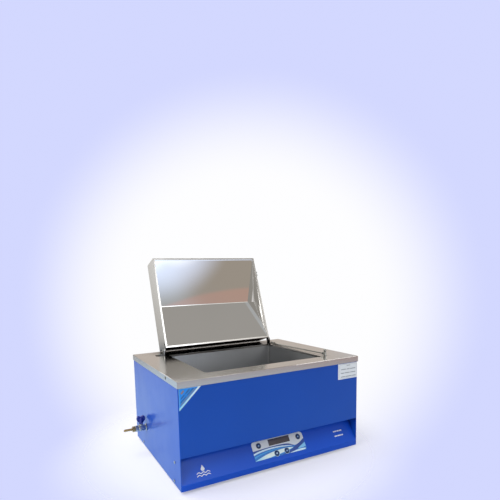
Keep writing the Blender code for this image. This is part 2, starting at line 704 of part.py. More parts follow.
def build_lid_liner(axis):
    """Mirror-polished liner: a shallow gable with upright ends and a narrow flange on the hem."""
    z = LID_RIM_Z + LID_SHEET + GAP
    edge = LID_SHEET + 0.0012
    low, high = (LID_LOW[0] + edge, LID_LOW[1] + edge), (LID_HIGH[0] - edge, LID_HIGH[1] - edge)
    mouth = LID_HEM + 0.0005
    in_low, in_high = (LID_LOW[0] + mouth, LID_LOW[1] + mouth), (LID_HIGH[0] - mouth, LID_HIGH[1] - mouth)
    ridge_y = LID_LOW[1] + LINER_RIDGE * (LID_HIGH[1] - LID_LOW[1])
    front_slope = math.atan2(LINER_RISE, ridge_y - in_low[1])
    back_slope = math.atan2(LINER_RISE, in_high[1] - ridge_y)
    gable = [
        (in_low[1] - LINER_SHEET / math.sin(front_slope), z),
        (in_high[1] + LINER_SHEET / math.sin(back_slope), z),
        (ridge_y, z + LINER_RISE + LINER_SHEET / math.cos(back_slope)),
    ]
    hollow = [(in_low[1], z), (in_low[1], z - 0.01), (in_high[1], z - 0.01), (in_high[1], z)]
    hollow += [(ridge_y, z + LINER_RISE)]
    flange = box((*low, z), (*high, z + LINER_SHEET))
    bm = join(flange, prism_x(gable, in_low[0] - LINER_SHEET, in_high[0] + LINER_SHEET))
    bm = cut(bm, prism_x(hollow, in_low[0], in_high[0]))
    finish("lid_liner", bm, "mirror stainless", axis, HINGE, at_origin=True)


def build_lid_insulation(axis):
    """Foam between the lid's shell and liner."""
    low_z = LID_RIM_Z + 0.0034
    top_z = LID_RIM_Z + LID_THICKNESS - LID_SHEET - 0.0010
    ridge_y = LID_LOW[1] + LINER_RIDGE * (LID_HIGH[1] - LID_LOW[1])
    ridge_z = LID_RIM_Z + LID_SHEET + LINER_RISE + 0.0022
    front, back = LID_LOW[1] + 0.0035, LID_HIGH[1] - 0.0035
    outline = [(front, low_z), (front + 0.0045, low_z), (ridge_y, ridge_z), (back - 0.0045, low_z)]
    outline += [(back, low_z), (back, top_z), (front, top_z)]
    bm = prism_x(outline, LID_LOW[0] + 0.0085, LID_HIGH[0] - 0.0085)
    finish("lid_insulation", bm, "mineral wool", axis, HINGE, at_origin=True)


def lug_outline():
    """Side view of a hinge lug: round about the pin, running forward along the lid's end."""
    outline = arc((HINGE.y, HINGE.z), 0.0078, -90, 90, 8)
    front = LID_HIGH[1] - 0.016
    outline += [(front + 0.003, HINGE.z + 0.0078), (front, HINGE.z + 0.0048)]
    outline += [(front, HINGE.z - 0.0048), (front + 0.003, HINGE.z - 0.0078)]
    return outline


def mirrored(x, side):
    """X for the left side, or its mirror image for the right side."""
    return x if side == "left" else WIDTH - x


def span(a, b, side):
    """Low and high X of a left-side interval, mirrored for the right side."""
    return sorted((mirrored(a, side), mirrored(b, side)))


def pin_bore(x_low, x_high):
    """Cutter for the hinge pin's clearance hole through a plate between two X positions."""
    start, end = (x_low - 0.01, HINGE.y, HINGE.z), (x_high + 0.01, HINGE.y, HINGE.z)
    return rod(start, end, PIN_RADIUS + PIN_CLEARANCE, 16)


def build_lid_fittings(axis):
    """Hinge lugs on the lid's ends, the stay catch and the handle."""
    lid_end = LID_LOW[0]
    for side in ("left", "right"):
        x_low, x_high = span(lid_end - GAP - LUG_SHEET, lid_end - GAP, side)
        lug = prism_x(lug_outline(), x_low, x_high)
        bore = pin_bore(x_low, x_high)
        finish("hinge_lug_" + side, cut(lug, bore), "polished stainless", axis, HINGE, at_origin=True)

    y, z = LID_LOW[1] + 0.2 * (LID_HIGH[1] - LID_LOW[1]), LID_RIM_Z + 0.0025
    x = LID_HIGH[0] + GAP
    outline = [(y - 0.0025, z), (y - 0.0025, z + 0.005)] + arc((y, z + 0.005), 0.0025, 180, 0, 6)[1:-1]
    outline += [(y + 0.0025, z + 0.005), (y + 0.0025, z), (y + 0.009, z), (y + 0.009, z + 0.007)]
    outline += arc((y + 0.005, z + 0.009), 0.004, 0, 90, 3)[1:]
    outline += arc((y - 0.005, z + 0.009), 0.004, 90, 180, 3) + [(y - 0.009, z)]
    finish("stay_catch", prism_x(outline, x, x + 0.0047), "chrome", axis, HINGE, at_origin=True)

    top = LID_RIM_Z + LID_THICKNESS + GAP
    middle = WIDTH / 2
    grip = top + HANDLE_HEIGHT - HANDLE_RADIUS
    corners = [(middle - HANDLE_SPAN / 2, HANDLE_Y, top), (middle - HANDLE_SPAN / 2, HANDLE_Y, grip)]
    corners += [(middle + HANDLE_SPAN / 2, HANDLE_Y, grip), (middle + HANDLE_SPAN / 2, HANDLE_Y, top)]
    handle = swept(rounded_path(corners, 0.012), Y_AXIS, HANDLE_RADIUS, steps=12)
    finish("lid_handle", handle, "chrome", axis, HINGE, at_origin=True)


# ---------------------------------------------------------------- hinges and stay on the deck

def bracket_screws():
    """Places of the two screws that hold the hinge brackets to the deck."""
    return [(mirrored(0.072, side), HINGE.y) for side in ("left", "right")]


def build_brackets(frame):
    """Hinge brackets: a round-ended foot on the deck and an upright ear beside the lid, with a pin."""
    floor = HEIGHT + GAP
    ear_x = LID_LOW[0] - 0.0061
    half = 0.011
    for side, (screw_x, screw_y) in zip(("left", "right"), bracket_screws()):
        foot_x = 0.060 + half
        foot = arc((foot_x, HINGE.y), half, 90, 270, 8)
        foot += [(ear_x + EAR_SHEET, HINGE.y - half), (ear_x + EAR_SHEET, HINGE.y + half)]
        foot = [(mirrored(x, side), y) for x, y in foot]
        bracket = prism_z(foot, floor, floor + EAR_SHEET)
        ear = arc((HINGE.y, HINGE.z), 0.009, 0, 180, 8)
        ear += [(HINGE.y - half, floor + 0.0005), (HINGE.y + half, floor + 0.0005)]
        x_low, x_high = span(ear_x, ear_x + EAR_SHEET, side)
        bracket = join(bracket, prism_x(ear, x_low, x_high))
        tools = pin_bore(x_low, x_high)
        rod((screw_x, screw_y, floor - 0.01), (screw_x, screw_y, floor + 0.01), HOLE_RADIUS, 10, tools)
        origin = (x_low, HINGE.y, floor)
        finish("hinge_bracket_" + side, cut(bracket, tools), "polished stainless", frame, origin)

        out = -X_AXIS if side == "left" else X_AXIS
        under_head = Vector((mirrored(ear_x - GAP, side), HINGE.y, HINGE.z))
        reach = LID_LOW[0] - 0.0005 - (ear_x - GAP)
        pin = turned([(0, 0.0022), (0.0026, 0.0019), (0.0042, 0.0008), (0.0042, 0), (PIN_RADIUS, 0),
                      (PIN_RADIUS, -reach), (0, -reach)], under_head, out, 16)
        finish("hinge_pin_" + side, pin, "chrome", frame, under_head)

        top = Vector((screw_x, screw_y, floor + EAR_SHEET + GAP))
        finish("bracket_screw_" + side, screw(top, Z_AXIS, 0.011), "chrome", frame, top)


def build_stay(frame):
    """Lid stay: a post on the deck, a pin through it and a thin rod that swings up on the pin."""
    post_at = Vector((POST_X, STAY_PIVOT.y, HEIGHT + GAP))
    r = POST_RADIUS
    post = turned([(0, -0.009), (0.0024, -0.009), (0.0024, 0), (r, 0), (r, 0.0140), (r + 0.0008, 0.0150),
                   (r + 0.0008, 0.0180), (r - 0.0008, 0.0197), (0, 0.0200)], post_at, Z_AXIS, 16)
    bore = rod(STAY_PIVOT, STAY_PIVOT + X_AXIS * 0.017, 0.0018, 12)
    post = cut(post, bore)
    finish("stay_post", post, "chrome", frame, post_at)
    pin_start = STAY_PIVOT - X_AXIS * 0.0021
    pin = turned([(0, -0.0015), (0.003, -0.0015), (0.003, 0), (0.0014, 0), (0.0014, 0.012), (0, 0.012)],
                 pin_start, X_AXIS, 12)
    finish("stay_pin", pin, "chrome", frame, STAY_PIVOT)

    turn = add_empty("stay_axis", STAY_PIVOT, parent=frame)
    eye = turned([(0.0018, -0.0017), (0.0045, -0.0017), (0.0045, 0.0017), (0.0018, 0.0017)],
                 STAY_PIVOT, X_AXIS, 20, closed=True)
    far = Vector((STAY_PIVOT.x, STAY_PIVOT.y + STAY_LENGTH, HEIGHT + STAY_RADIUS + GAP))
    along = (far - STAY_PIVOT).normalized()
    path = rounded_path([STAY_PIVOT + along * 0.0038, far, far - X_AXIS * 0.0055], 0.0025, 4)
    stay = join(eye, swept(path, along.cross(X_AXIS), STAY_RADIUS, steps=10))
    finish("stay_rod", stay, "chrome", turn, STAY_PIVOT, at_origin=True)


# ---------------------------------------------------------------- controls

def build_controls(frame):
    """Overlay film, display window and module, four buttons and the control board."""
    low, high = OVERLAY_LOW, OVERLAY_HIGH
    outline = [(low[0], low[1]), (low[0] + 0.100, low[1]), (high[0], low[1] - 0.001)]
    outline += [(high[0], high[1] - 0.010)] + arc((high[0] - 0.008, high[1] - 0.008), 0.008, 0, 90, 4)
    outline += arc((low[0] + 0.008, high[1] - 0.008), 0.008, 90, 180, 4)
    film = slope_prism(outline, GAP, GAP + 0.0005)
    finish("control_overlay", cut(film, control_holes()), "overlay film", frame)

    window = slope_prism(rectangle(WINDOW_LOW, WINDOW_HIGH, -GAP), -0.0014, 0.0010)
    finish("display_window", window, "dark window", frame)
    module = slope_prism(rectangle(WINDOW_LOW, WINDOW_HIGH, 0.005), -0.0070, -0.0018)
    finish("display_module", module, "black plastic", frame)

    board = slope_prism(rectangle((0.238, 0.008), (0.399, 0.060)), -0.0096, -0.0080)
    for x, up in BUTTONS:
        switch = slope_prism(rectangle((x - 0.003, up - 0.003), (x + 0.003, up + 0.003)), -0.0084, -0.0068)
        board = join(board, switch)
    finish("control_board", board, "circuit board", frame)

    for number, (x, up) in enumerate(BUTTONS, 1):
        centre = on_slope(x, up, 0.0)
        r = BUTTON_RADIUS
        profile = [(0, BUTTON_TOP), (0.55 * r, BUTTON_TOP - 0.0002), (0.86 * r, BUTTON_TOP - 0.0006)]
        profile += [(r, BUTTON_TOP - 0.0012), (r, -0.0018), (r + 0.0012, -0.0018), (r + 0.0012, -0.0028)]
        profile += [(0.0018, -0.0028), (0.0018, -0.0056), (0, -0.0056)]
        button = turned(profile, centre, SLOPE_OUT, 20)
        finish("button_" + str(number), button, "button plastic", frame, centre)


def build_electrics(frame):
    """Solid state relay on the base plate, overheat thermostat under the tank."""
    floor = 2 * SHEET + 2 * GAP
    relay = box((0.400, 0.120, floor), (0.445, 0.178, floor + 0.026))
    slot = box((0.394, 0.143, floor + 0.018), (0.451, 0.155, floor + 0.030))
    finish("solid_state_relay", cut(relay, slot), "black plastic", frame, (0.400, 0.120, floor))
    under = TANK_FLOOR_Z - TANK_WALL - GAP
    thermostat = turned([(0, 0), (0.012, 0), (0.012, -0.003), (0.009, -0.004), (0.009, -0.016), (0, -0.016)],
                        (0.300, 0.200, under), Z_AXIS, 20)
    finish("overheat_thermostat", thermostat, "black plastic", frame, (0.300, 0.200, under))


# ---------------------------------------------------------------- fasteners

def build_screws(frame):
    """Side, flange and rear panel screws."""
    labels = ("front", "rear", "fascia")
    for side, sign in (("left", -1), ("right", 1)):
        face = 0.0 if side == "left" else WIDTH
        for label, (y, z) in zip(labels, SIDE_SCREWS):
            head = Vector((face + sign * GAP, y, z))
            name = "side_screw_" + side + "_" + label
            finish(name, screw(head, X_AXIS * sign, 0.008), "chrome", frame, head)
        head = Vector((face + sign * (DECK_PROUD + GAP), *FLANGE_SCREW))
        finish("flange_screw_" + side, screw(head, X_AXIS * sign, 0.008), "chrome", frame, head)
    for number, (x, z) in enumerate(REAR_SCREWS, 1):
        head = Vector((x, DEPTH + GAP, z))
        finish("rear_screw_" + str(number), screw(head, Y_AXIS, 0.008), "chrome", frame, head)


# ---------------------------------------------------------------- whole object

def whole_box():
    """Lowest and highest X and Y of the finished object, in the cabinet's frame, lid open."""
    screw_reach = DECK_PROUD + GAP + HEAD_HEIGHT
    turn = Matrix.Rotation(-LID_OPEN_ANGLE, 3, "X")
    top = LID_RIM_Z + LID_THICKNESS
    edges = (Vector((0.0, LID_LOW[1] + LID_EDGE, top)), Vector((0.0, LID_LOW[1], top - LID_EDGE)))
    back = max((turn @ (edge - HINGE) + HINGE).y for edge in edges)
    return (-VALVE_REACH, -DECK_PROUD), (WIDTH + screw_reach, back)


def main():
    clear_scene()
    low, high = whole_box()
    frame = add_empty("cabinet_frame", (-(low[0] + high[0]) / 2, -(low[1] + high[1]) / 2, FOOT_HEIGHT))
    build_casing(frame)
    build_fascia(frame)
    build_base(frame)
    build_feet(frame)
    build_rear_panel(frame)
    build_rear_fittings(frame)
    build_deck(frame)
    build_tank(frame)
    build_tank_fittings(frame)
    build_insulation(frame)
    build_drain(frame)
    build_valve(frame)
    lid_axis = add_empty("lid_axis", HINGE, (-LID_OPEN_ANGLE, 0.0, 0.0), frame)
    build_lid_shell(lid_axis)
    build_lid_liner(lid_axis)
    build_lid_insulation(lid_axis)
    build_lid_fittings(lid_axis)
    build_brackets(frame)
    build_stay(frame)
    build_controls(frame)
    build_electrics(frame)
    build_screws(frame)


main()
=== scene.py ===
"""Looks for the laboratory water bath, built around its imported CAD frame.

Lengths are in metres. Cabinet coordinates run right, back and up from the casing's lower front left
corner; panel coordinates run right and up the sloping control face from its lower fold.
"""

import json
import math

import bmesh
import bpy
from mathutils import Matrix, Vector
from mathutils.geometry import delaunay_2d_cdt

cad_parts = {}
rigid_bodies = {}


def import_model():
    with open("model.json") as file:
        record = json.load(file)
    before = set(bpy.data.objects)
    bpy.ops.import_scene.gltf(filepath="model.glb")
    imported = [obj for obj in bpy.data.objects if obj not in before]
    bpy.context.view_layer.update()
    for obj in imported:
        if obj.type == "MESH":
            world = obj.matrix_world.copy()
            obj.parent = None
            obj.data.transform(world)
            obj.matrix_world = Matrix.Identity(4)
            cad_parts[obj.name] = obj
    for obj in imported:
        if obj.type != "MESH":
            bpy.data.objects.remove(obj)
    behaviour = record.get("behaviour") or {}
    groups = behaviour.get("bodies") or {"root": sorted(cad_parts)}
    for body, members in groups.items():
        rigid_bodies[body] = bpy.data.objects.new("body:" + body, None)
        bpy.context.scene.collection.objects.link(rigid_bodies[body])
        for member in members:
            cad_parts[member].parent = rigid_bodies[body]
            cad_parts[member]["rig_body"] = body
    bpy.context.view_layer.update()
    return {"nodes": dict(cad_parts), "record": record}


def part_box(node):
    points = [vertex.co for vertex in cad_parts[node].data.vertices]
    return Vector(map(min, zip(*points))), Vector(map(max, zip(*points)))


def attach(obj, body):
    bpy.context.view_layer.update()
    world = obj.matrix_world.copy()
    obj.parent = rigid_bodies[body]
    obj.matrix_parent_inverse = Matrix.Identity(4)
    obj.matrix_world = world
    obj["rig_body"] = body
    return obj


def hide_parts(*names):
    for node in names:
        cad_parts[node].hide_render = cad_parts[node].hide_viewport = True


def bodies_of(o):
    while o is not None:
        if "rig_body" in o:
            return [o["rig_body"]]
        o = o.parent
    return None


for stray in list(bpy.data.objects):
    bpy.data.objects.remove(stray)

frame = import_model()
NODES = frame["nodes"]

# ---------------------------------------------------------------- layout, from the CAD frame

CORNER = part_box("casing_wrapper")[0]
LIP_Z, OVERHANG_Z, RECESS_DEPTH = 0.016, 0.089, 0.046
SLOPE_UP = Vector((0.0, RECESS_DEPTH, OVERHANG_Z - LIP_Z)).normalized()
SLOPE_OUT = Vector((1.0, 0.0, 0.0)).cross(SLOPE_UP)
FILM_TOP, PRINT = 0.0008, 0.00006
BUTTONS = {"button_1": (0.249, 0.0522), "button_2": (0.388, 0.0520),
           "button_3": (0.301, 0.0205), "button_4": (0.3365, 0.0210)}
WINDOW = ((0.283, 0.045), (0.357, 0.063))
KEY_RADIUS, KEY_TOP = 0.0062, 0.0021
KEY_HOLE, DARK_RING, PALE_RING = 0.0066, 0.0083, 0.0092
SCREW_HEAD, SCREW_SHANK = 0.0021, 0.0018


def on_panel(x, up, out=0.0):
    """Point on the sloping control face."""
    return CORNER + Vector((x, 0.0, LIP_Z)) + SLOPE_UP * up + SLOPE_OUT * out


# ---------------------------------------------------------------- procedural surfaces

class Surface:
    """A Principled material, with helpers that add procedural detail in object space."""

    def __init__(self, name, colour, roughness, metallic=0.0, **sockets):
        self.material = bpy.data.materials.new(name)
        self.material.use_nodes = True
        self.tree = self.material.node_tree
        self.shader = self.tree.nodes["Principled BSDF"]
        self.colour = Vector(colour)
        self.place = None
        self.normal = None
        self.set("Base Color", (*colour, 1.0))
        self.set("Roughness", roughness)
        self.set("Metallic", metallic)
        for socket, value in sockets.items():
            self.set(socket.replace("_", " ").title().replace("Ior", "IOR"), value)

    def set(self, socket, value):
        self.shader.inputs[socket].default_value = value

    def link(self, output, target):
        self.tree.links.new(output, target)

    def node(self, kind, **properties):
        made = self.tree.nodes.new(kind)
        for name, value in properties.items():
            setattr(made, name, value)
        return made

    def position(self, stretch=(1.0, 1.0, 1.0)):
        """Object-space position, scaled on each axis."""
        if self.place is None:
            self.place = self.node("ShaderNodeTexCoord").outputs["Object"]
        mapping = self.node("ShaderNodeMapping")
        mapping.inputs["Scale"].default_value = stretch
        self.link(self.place, mapping.inputs["Vector"])
        return mapping.outputs["Vector"]

    def noise(self, scale, detail=2.0, stretch=(1.0, 1.0, 1.0), distortion=0.0):
        made = self.node("ShaderNodeTexNoise")
        made.inputs["Scale"].default_value = scale
        made.inputs["Detail"].default_value = detail
        made.inputs["Distortion"].default_value = distortion
        self.link(self.position(stretch), made.inputs["Vector"])
        return made.outputs["Fac"]

    def cells(self, scale, feature="F1"):
        made = self.node("ShaderNodeTexVoronoi", feature=feature)
        made.inputs["Scale"].default_value = scale
        self.link(self.position(), made.inputs["Vector"])
        return made

    def spread(self, value, low, high, centre=0.5, half=0.28):
        """Map a noise value onto a range of numbers."""
        made = self.node("ShaderNodeMapRange")
        made.inputs["From Min"].default_value = centre - half
        made.inputs["From Max"].default_value = centre + half
        made.inputs["To Min"].default_value = low
        made.inputs["To Max"].default_value = high
        self.link(value, made.inputs["Value"])
        return made.outputs["Result"]

    def tint(self, value, darker, lighter):
        """Vary the base colour between two multiples of it."""
        mix = self.node("ShaderNodeMix", data_type="RGBA")
        mix.inputs["A"].default_value = (*[min(1.0, c) for c in self.colour * darker], 1.0)
        mix.inputs["B"].default_value = (*[min(1.0, c) for c in self.colour * lighter], 1.0)
        self.link(self.spread(value, 0.0, 1.0), mix.inputs["Factor"])
        self.link(mix.outputs["Result"], self.shader.inputs["Base Color"])
        return self

    def blend(self, value, first, second):
        """Run the base colour from one colour to another."""
        mix = self.node("ShaderNodeMix", data_type="RGBA")
        mix.inputs["A"].default_value = (*first, 1.0)
        mix.inputs["B"].default_value = (*second, 1.0)
        self.link(value, mix.inputs["Factor"])
        self.link(mix.outputs["Result"], self.shader.inputs["Base Color"])
        return self

    def rough(self, value, low, high):
        self.link(self.spread(value, low, high), self.shader.inputs["Roughness"])
        return self

    def darken_gaps_as_painted_shade(self, reach, shut, clear, left=0.02):
        """Painted shade: darken the base colour in tight gaps and recesses, where ambient occlusion finds
        little open space.
        """
        near = self.node("ShaderNodeAmbientOcclusion", samples=12)
        near.inputs["Distance"].default_value = reach
        ramp = self.node("ShaderNodeMapRange")
        ramp.inputs["From Min"].default_value = shut
        ramp.inputs["From Max"].default_value = clear
        self.link(near.outputs["AO"], ramp.inputs["Value"])
        mix = self.node("ShaderNodeMix", data_type="RGBA")
        mix.inputs["A"].default_value = (*(self.colour * left), 1.0)
        base = self.shader.inputs["Base Color"]
        self.link(base.links[0].from_socket, mix.inputs["B"])
        self.link(ramp.outputs["Result"], mix.inputs["Factor"])
        self.link(mix.outputs["Result"], base)
        return self

    def bump(self, value, depth, strength=1.0):
        """Add relief of a given depth to what is there already."""
        made = self.node("ShaderNodeBump")
        made.inputs["Strength"].default_value = strength
        made.inputs["Distance"].default_value = depth
        self.link(value, made.inputs["Height"])
        if self.normal is not None:
            self.link(self.normal, made.inputs["Normal"])
        self.normal = made.outputs["Normal"]
        self.link(self.normal, self.shader.inputs["Normal"])
        return self


def painted(name, colour):
    """Stoved enamel: an even colour with faint orange peel and cleaner and duller patches, and painted
    shade in its recesses.
    """
    s = Surface(name, colour, 0.36, ior=1.32, coat_weight=1.0, coat_roughness=0.16, coat_ior=1.22,
                specular_tint=(0.66, 1.0, 1.0, 1.0))
    s.tint(s.noise(5.0, 3.0), 0.95, 1.06)
    # Painted shade: the enamel darkens under the overhang and in the recess cheeks, where ambient
    # occlusion finds them shut in.
    s.darken_gaps_as_painted_shade(0.05, 0.10, 0.46, 0.40)
    s.rough(s.noise(11.0, 4.0), 0.30, 0.42)
    s.bump(s.noise(420.0, 2.0), 0.00005, 0.35)
    return s.material


def brushed(name, colour, roughness, stretch, depth=0.00003):
    """Polished sheet: fine lines along one axis, slow waviness and hand marks, and painted shade in tight
    gaps.
    """
    s = Surface(name, colour, roughness, 1.0)
    lines = s.noise(1.0, 3.0, stretch)
    s.tint(lines, 0.94, 1.05)
    # Painted shade: the steel runs towards black in tight gaps, such as the deck strip under the lid's
    # hinge side.
    s.darken_gaps_as_painted_shade(0.08, 0.50, 0.90)
    s.rough(s.noise(9.0, 4.0, distortion=0.4), roughness * 0.75, roughness * 1.35)
    s.bump(lines, depth, 0.5)
    s.bump(s.noise(7.0, 1.0), 0.0012, 0.10)
    return s.material


def mirrored_sheet(name, colour):
    """Mirror-polished sheet with the slow waviness of thin steel and a few faint wipe marks."""
    s = Surface(name, colour, 0.03, 1.0)
    s.tint(s.noise(3.0, 2.0), 0.97, 1.02)
    s.rough(s.noise(16.0, 5.0, (1.0, 1.0, 0.4), 0.8), 0.015, 0.045)
    s.bump(s.noise(5.0, 1.0), 0.0016, 0.10)
    return s.material


def satin(name, colour, roughness, stretch):
    """Satin sheet, its reflections drawn out upwards by the grain that runs round it."""
    s = Surface(name, colour, roughness, 1.0, anisotropic=0.85, anisotropic_rotation=0.25)
    s.link(s.node("ShaderNodeTangent", direction_type="RADIAL", axis="Z").outputs["Tangent"],
           s.shader.inputs["Tangent"])
    s.tint(s.noise(1.0, 3.0, stretch), 0.92, 1.05)
    s.rough(s.noise(12.0, 3.0), roughness * 0.9, roughness * 1.12)
    s.bump(s.noise(1.0, 2.0, stretch), 0.00004, 0.5)
    return s.material


def plated(name, colour, roughness, stretch=(700.0, 60.0, 60.0)):
    """Turned and plated metal: very fine tool lines, dull spots in the plating."""
    s = Surface(name, colour, roughness, 1.0)
    s.tint(s.noise(90.0, 4.0), 0.85, 1.08)
    s.rough(s.noise(160.0, 3.0), roughness * 0.7, roughness * 1.5)
    s.bump(s.noise(1.0, 1.0, stretch), 0.00003, 0.4)
    return s.material


def moulded(name, colour, roughness, grain, coat=0.0):
    """Moulded plastic or rubber with a fine grain, glossy if it has a coat."""
    s = Surface(name, colour, roughness, coat_weight=coat, coat_roughness=0.06)
    s.tint(s.noise(60.0, 3.0), 0.85, 1.15)
    s.rough(s.noise(140.0, 3.0), roughness * 0.85, roughness * 1.2)
    s.bump(s.noise(grain, 2.0), 0.00004, 0.5)
    return s.material


def printed(name, colour, roughness=0.38):
    """Ink under a thin clear film, with a fine grain."""
    s = Surface(name, colour, roughness, coat_weight=0.3, coat_roughness=0.25)
    s.tint(s.noise(260.0, 3.0), 0.93, 1.05)
    s.bump(s.noise(2600.0, 1.0), 0.00001, 0.4)
    return s.material


def faded_print(name, first, second, axis, start, end, roughness=0.38):
    """Printed film whose colour runs from one shade to another between two distances along an axis."""
    s = Surface(name, first, roughness, coat_weight=0.3, coat_roughness=0.25)
    dot = s.node("ShaderNodeVectorMath", operation="DOT_PRODUCT")
    dot.inputs[1].default_value = axis
    s.link(s.position(), dot.inputs[0])
    ramp = s.node("ShaderNodeMapRange", interpolation_type="SMOOTHSTEP")
    ramp.inputs["From Min"].default_value = start
    ramp.inputs["From Max"].default_value = end
    s.link(dot.outputs["Value"], ramp.inputs["Value"])
    s.blend(ramp.outputs["Result"], first, second)
    s.bump(s.noise(2600.0, 1.0), 0.00001, 0.4)
    return s.material


def fibrous(name, colour, scale):
    """Insulation: matt, uneven in colour and loose on its surface."""
    s = Surface(name, colour, 0.95, sheen_weight=0.3)
    s.tint(s.noise(scale, 6.0, (1.0, 1.0, 3.0), 1.5), 0.6, 1.3)
    s.bump(s.noise(scale * 2.0, 6.0, distortion=2.0), 0.0015, 0.9)
    return s.material


def galvanised(name, colour):
    """Zinc-coated sheet with its spangle."""
    s = Surface(name, colour, 0.42, 1.0)
    spangle = s.cells(70.0)
    grey = s.node("ShaderNodeRGBToBW")
    s.link(spangle.outputs["Color"], grey.inputs["Color"])
    s.tint(grey.outputs["Val"], 0.80, 1.12)
    s.rough(grey.outputs["Val"], 0.34, 0.5)
    s.bump(s.noise(300.0, 2.0), 0.00003, 0.4)
    return s.material


def circuit(name, colour):
    """Lacquered circuit board with faint raised tracks."""
    s = Surface(name, colour, 0.4, coat_weight=0.4)
    tracks = s.cells(160.0, "DISTANCE_TO_EDGE")
    s.tint(s.spread(tracks.outputs["Distance"], 0.2, 0.9, 0.08, 0.06), 0.6, 1.3)
    s.bump(tracks.outputs["Distance"], 0.0002, 0.4)
    return s.material


ACROSS = (6.0, 900.0, 900.0)
UPRIGHT = (900.0, 900.0, 8.0)
SURFACES = {
    "painted_blue": painted("painted_blue_enamel", (0.0042, 0.064, 0.405)),
    "galvanised": galvanised("zinc_plated_sheet", (0.56, 0.58, 0.60)),
    "foot_rubber": moulded("foot_rubber_black", (0.022, 0.022, 0.024), 0.75, 900.0),
    "polished_stainless": brushed("polished_stainless_sheet", (0.64, 0.615, 0.585), 0.16, ACROSS),
    "satin_stainless": satin("satin_stainless_sheet", (0.51, 0.52, 0.53), 0.38, UPRIGHT),
    "mirror_stainless": mirrored_sheet("mirror_stainless_sheet", (0.79, 0.78, 0.76)),
    "bright_nickel": plated("bright_nickel_plate", (0.52, 0.53, 0.50), 0.17),
    "yellow_brass": plated("yellow_brass_turned", (0.52, 0.36, 0.16), 0.28),
    "blue_handle_plastic": moulded("blue_handle_moulding", (0.004, 0.012, 0.20), 0.16, 300.0, 0.8),
    "overlay_film": printed("overlay_blue_field", (0.012, 0.17, 0.55)),
    "button_plastic": moulded("button_navy_moulding", (0.006, 0.030, 0.11), 0.22, 1400.0, 0.6),
    "dark_window": moulded("window_dark_acrylic", (0.055, 0.038, 0.045), 0.22, 700.0, 0.5),
    "black_plastic": moulded("black_moulding", (0.016, 0.016, 0.018), 0.42, 900.0),
    "circuit_board": circuit("green_circuit_board", (0.015, 0.13, 0.05)),
    "mineral_wool": fibrous("yellow_mineral_wool", (0.52, 0.44, 0.24), 120.0),
    "lid_foam": fibrous("lid_foam_block", (0.70, 0.66, 0.50), 260.0),
}
SLOTS = {row["node"]: row["material_slot"] for row in frame["record"]["subparts"]}


# ---------------------------------------------------------------- mesh helpers

def place(name, bm, material, body, smooth=35.0):
    """Turn a bmesh into a named piece that rides on a body."""
    bmesh.ops.recalc_face_normals(bm, faces=bm.faces)
    mesh = bpy.data.meshes.new(name)
    bm.to_mesh(mesh)
    bm.free()
    for polygon in mesh.polygons:
        polygon.use_smooth = True
    mesh.set_sharp_from_angle(angle=math.radians(smooth))
    mesh.materials.append(material)
    made = bpy.data.objects.new(name, mesh)
    bpy.context.scene.collection.objects.link(made)
    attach(made, body)
    return made


def body_of(node):
    """Name of the body that a CAD node belongs to."""
    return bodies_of(NODES[node])[0]


def refine(node, width, segments=2, crease=28.0, folds=None, surface=None):
    """Replace a CAD node with the same shape, its edges rounded off and its faces merged.

    Folds are the edges between two faces larger than an area, rounded to a width of their own.
    """
    bm = bmesh.new()
    bm.from_mesh(NODES[node].data)
    bmesh.ops.remove_doubles(bm, verts=bm.verts, dist=1e-5)
    bmesh.ops.dissolve_limit(bm, angle_limit=math.radians(0.3), verts=bm.verts, edges=bm.edges)
    limit = math.radians(crease)
    sharp = [e for e in bm.edges if e.is_manifold and e.calc_face_angle() > limit]
    if folds is not None:
        area, fold_width = folds
        wide = [e for e in sharp if min(face.calc_area() for face in e.link_faces) > area]
        sharp = [e for e in sharp if e not in wide]
        bmesh.ops.bevel(bm, geom=wide, offset=fold_width, segments=3, affect="EDGES", profile=0.5,
                        clamp_overlap=True)
        sharp = [e for e in sharp if e.is_valid]
    bmesh.ops.bevel(bm, geom=sharp, offset=width, segments=segments, affect="EDGES", profile=0.5,
                    clamp_overlap=True)
    made = place(node + "_finished", bm, surface or SURFACES[SLOTS[node]], body_of(node), 50.0)
    made.modifiers.new("even_shading", "WEIGHTED_NORMAL").keep_sharp = True
    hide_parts(node)
    return made


def lathe(profile, steps=48):
    """Turn (radius, height) points about Z into a bmesh."""
    bm = bmesh.new()
    rings = []
    for radius, height in profile:
        if radius < 1e-7:
            rings.append([bm.verts.new((0.0, 0.0, height))])
            continue
        angles = [2.0 * math.pi * i / steps for i in range(steps)]
        rings.append([bm.verts.new((radius * math.cos(a), radius * math.sin(a), height))
                      for a in angles])
    for low, high in zip(rings, rings[1:]):
        for i in range(steps):
            j = (i + 1) % steps
            quad = (low[i % len(low)], low[j % len(low)], high[j % len(high)], high[i % len(high)])
            unique = list(dict.fromkeys(quad))
            if len(unique) > 2:
                bm.faces.new(unique)
    return bm


def closed_lathe(profile, steps):
    """Turn a profile whose last point meets its first, and join the two rings."""
    bm = lathe(profile, steps)
    bmesh.ops.remove_doubles(bm, verts=bm.verts, dist=1e-7)
    return bm


def turned_to(axis, at):
    """Matrix that takes +Z to a direction and the origin to a point."""
    return Matrix.Translation(at) @ Vector(axis).to_track_quat("Z", "Y").to_matrix().to_4x4()


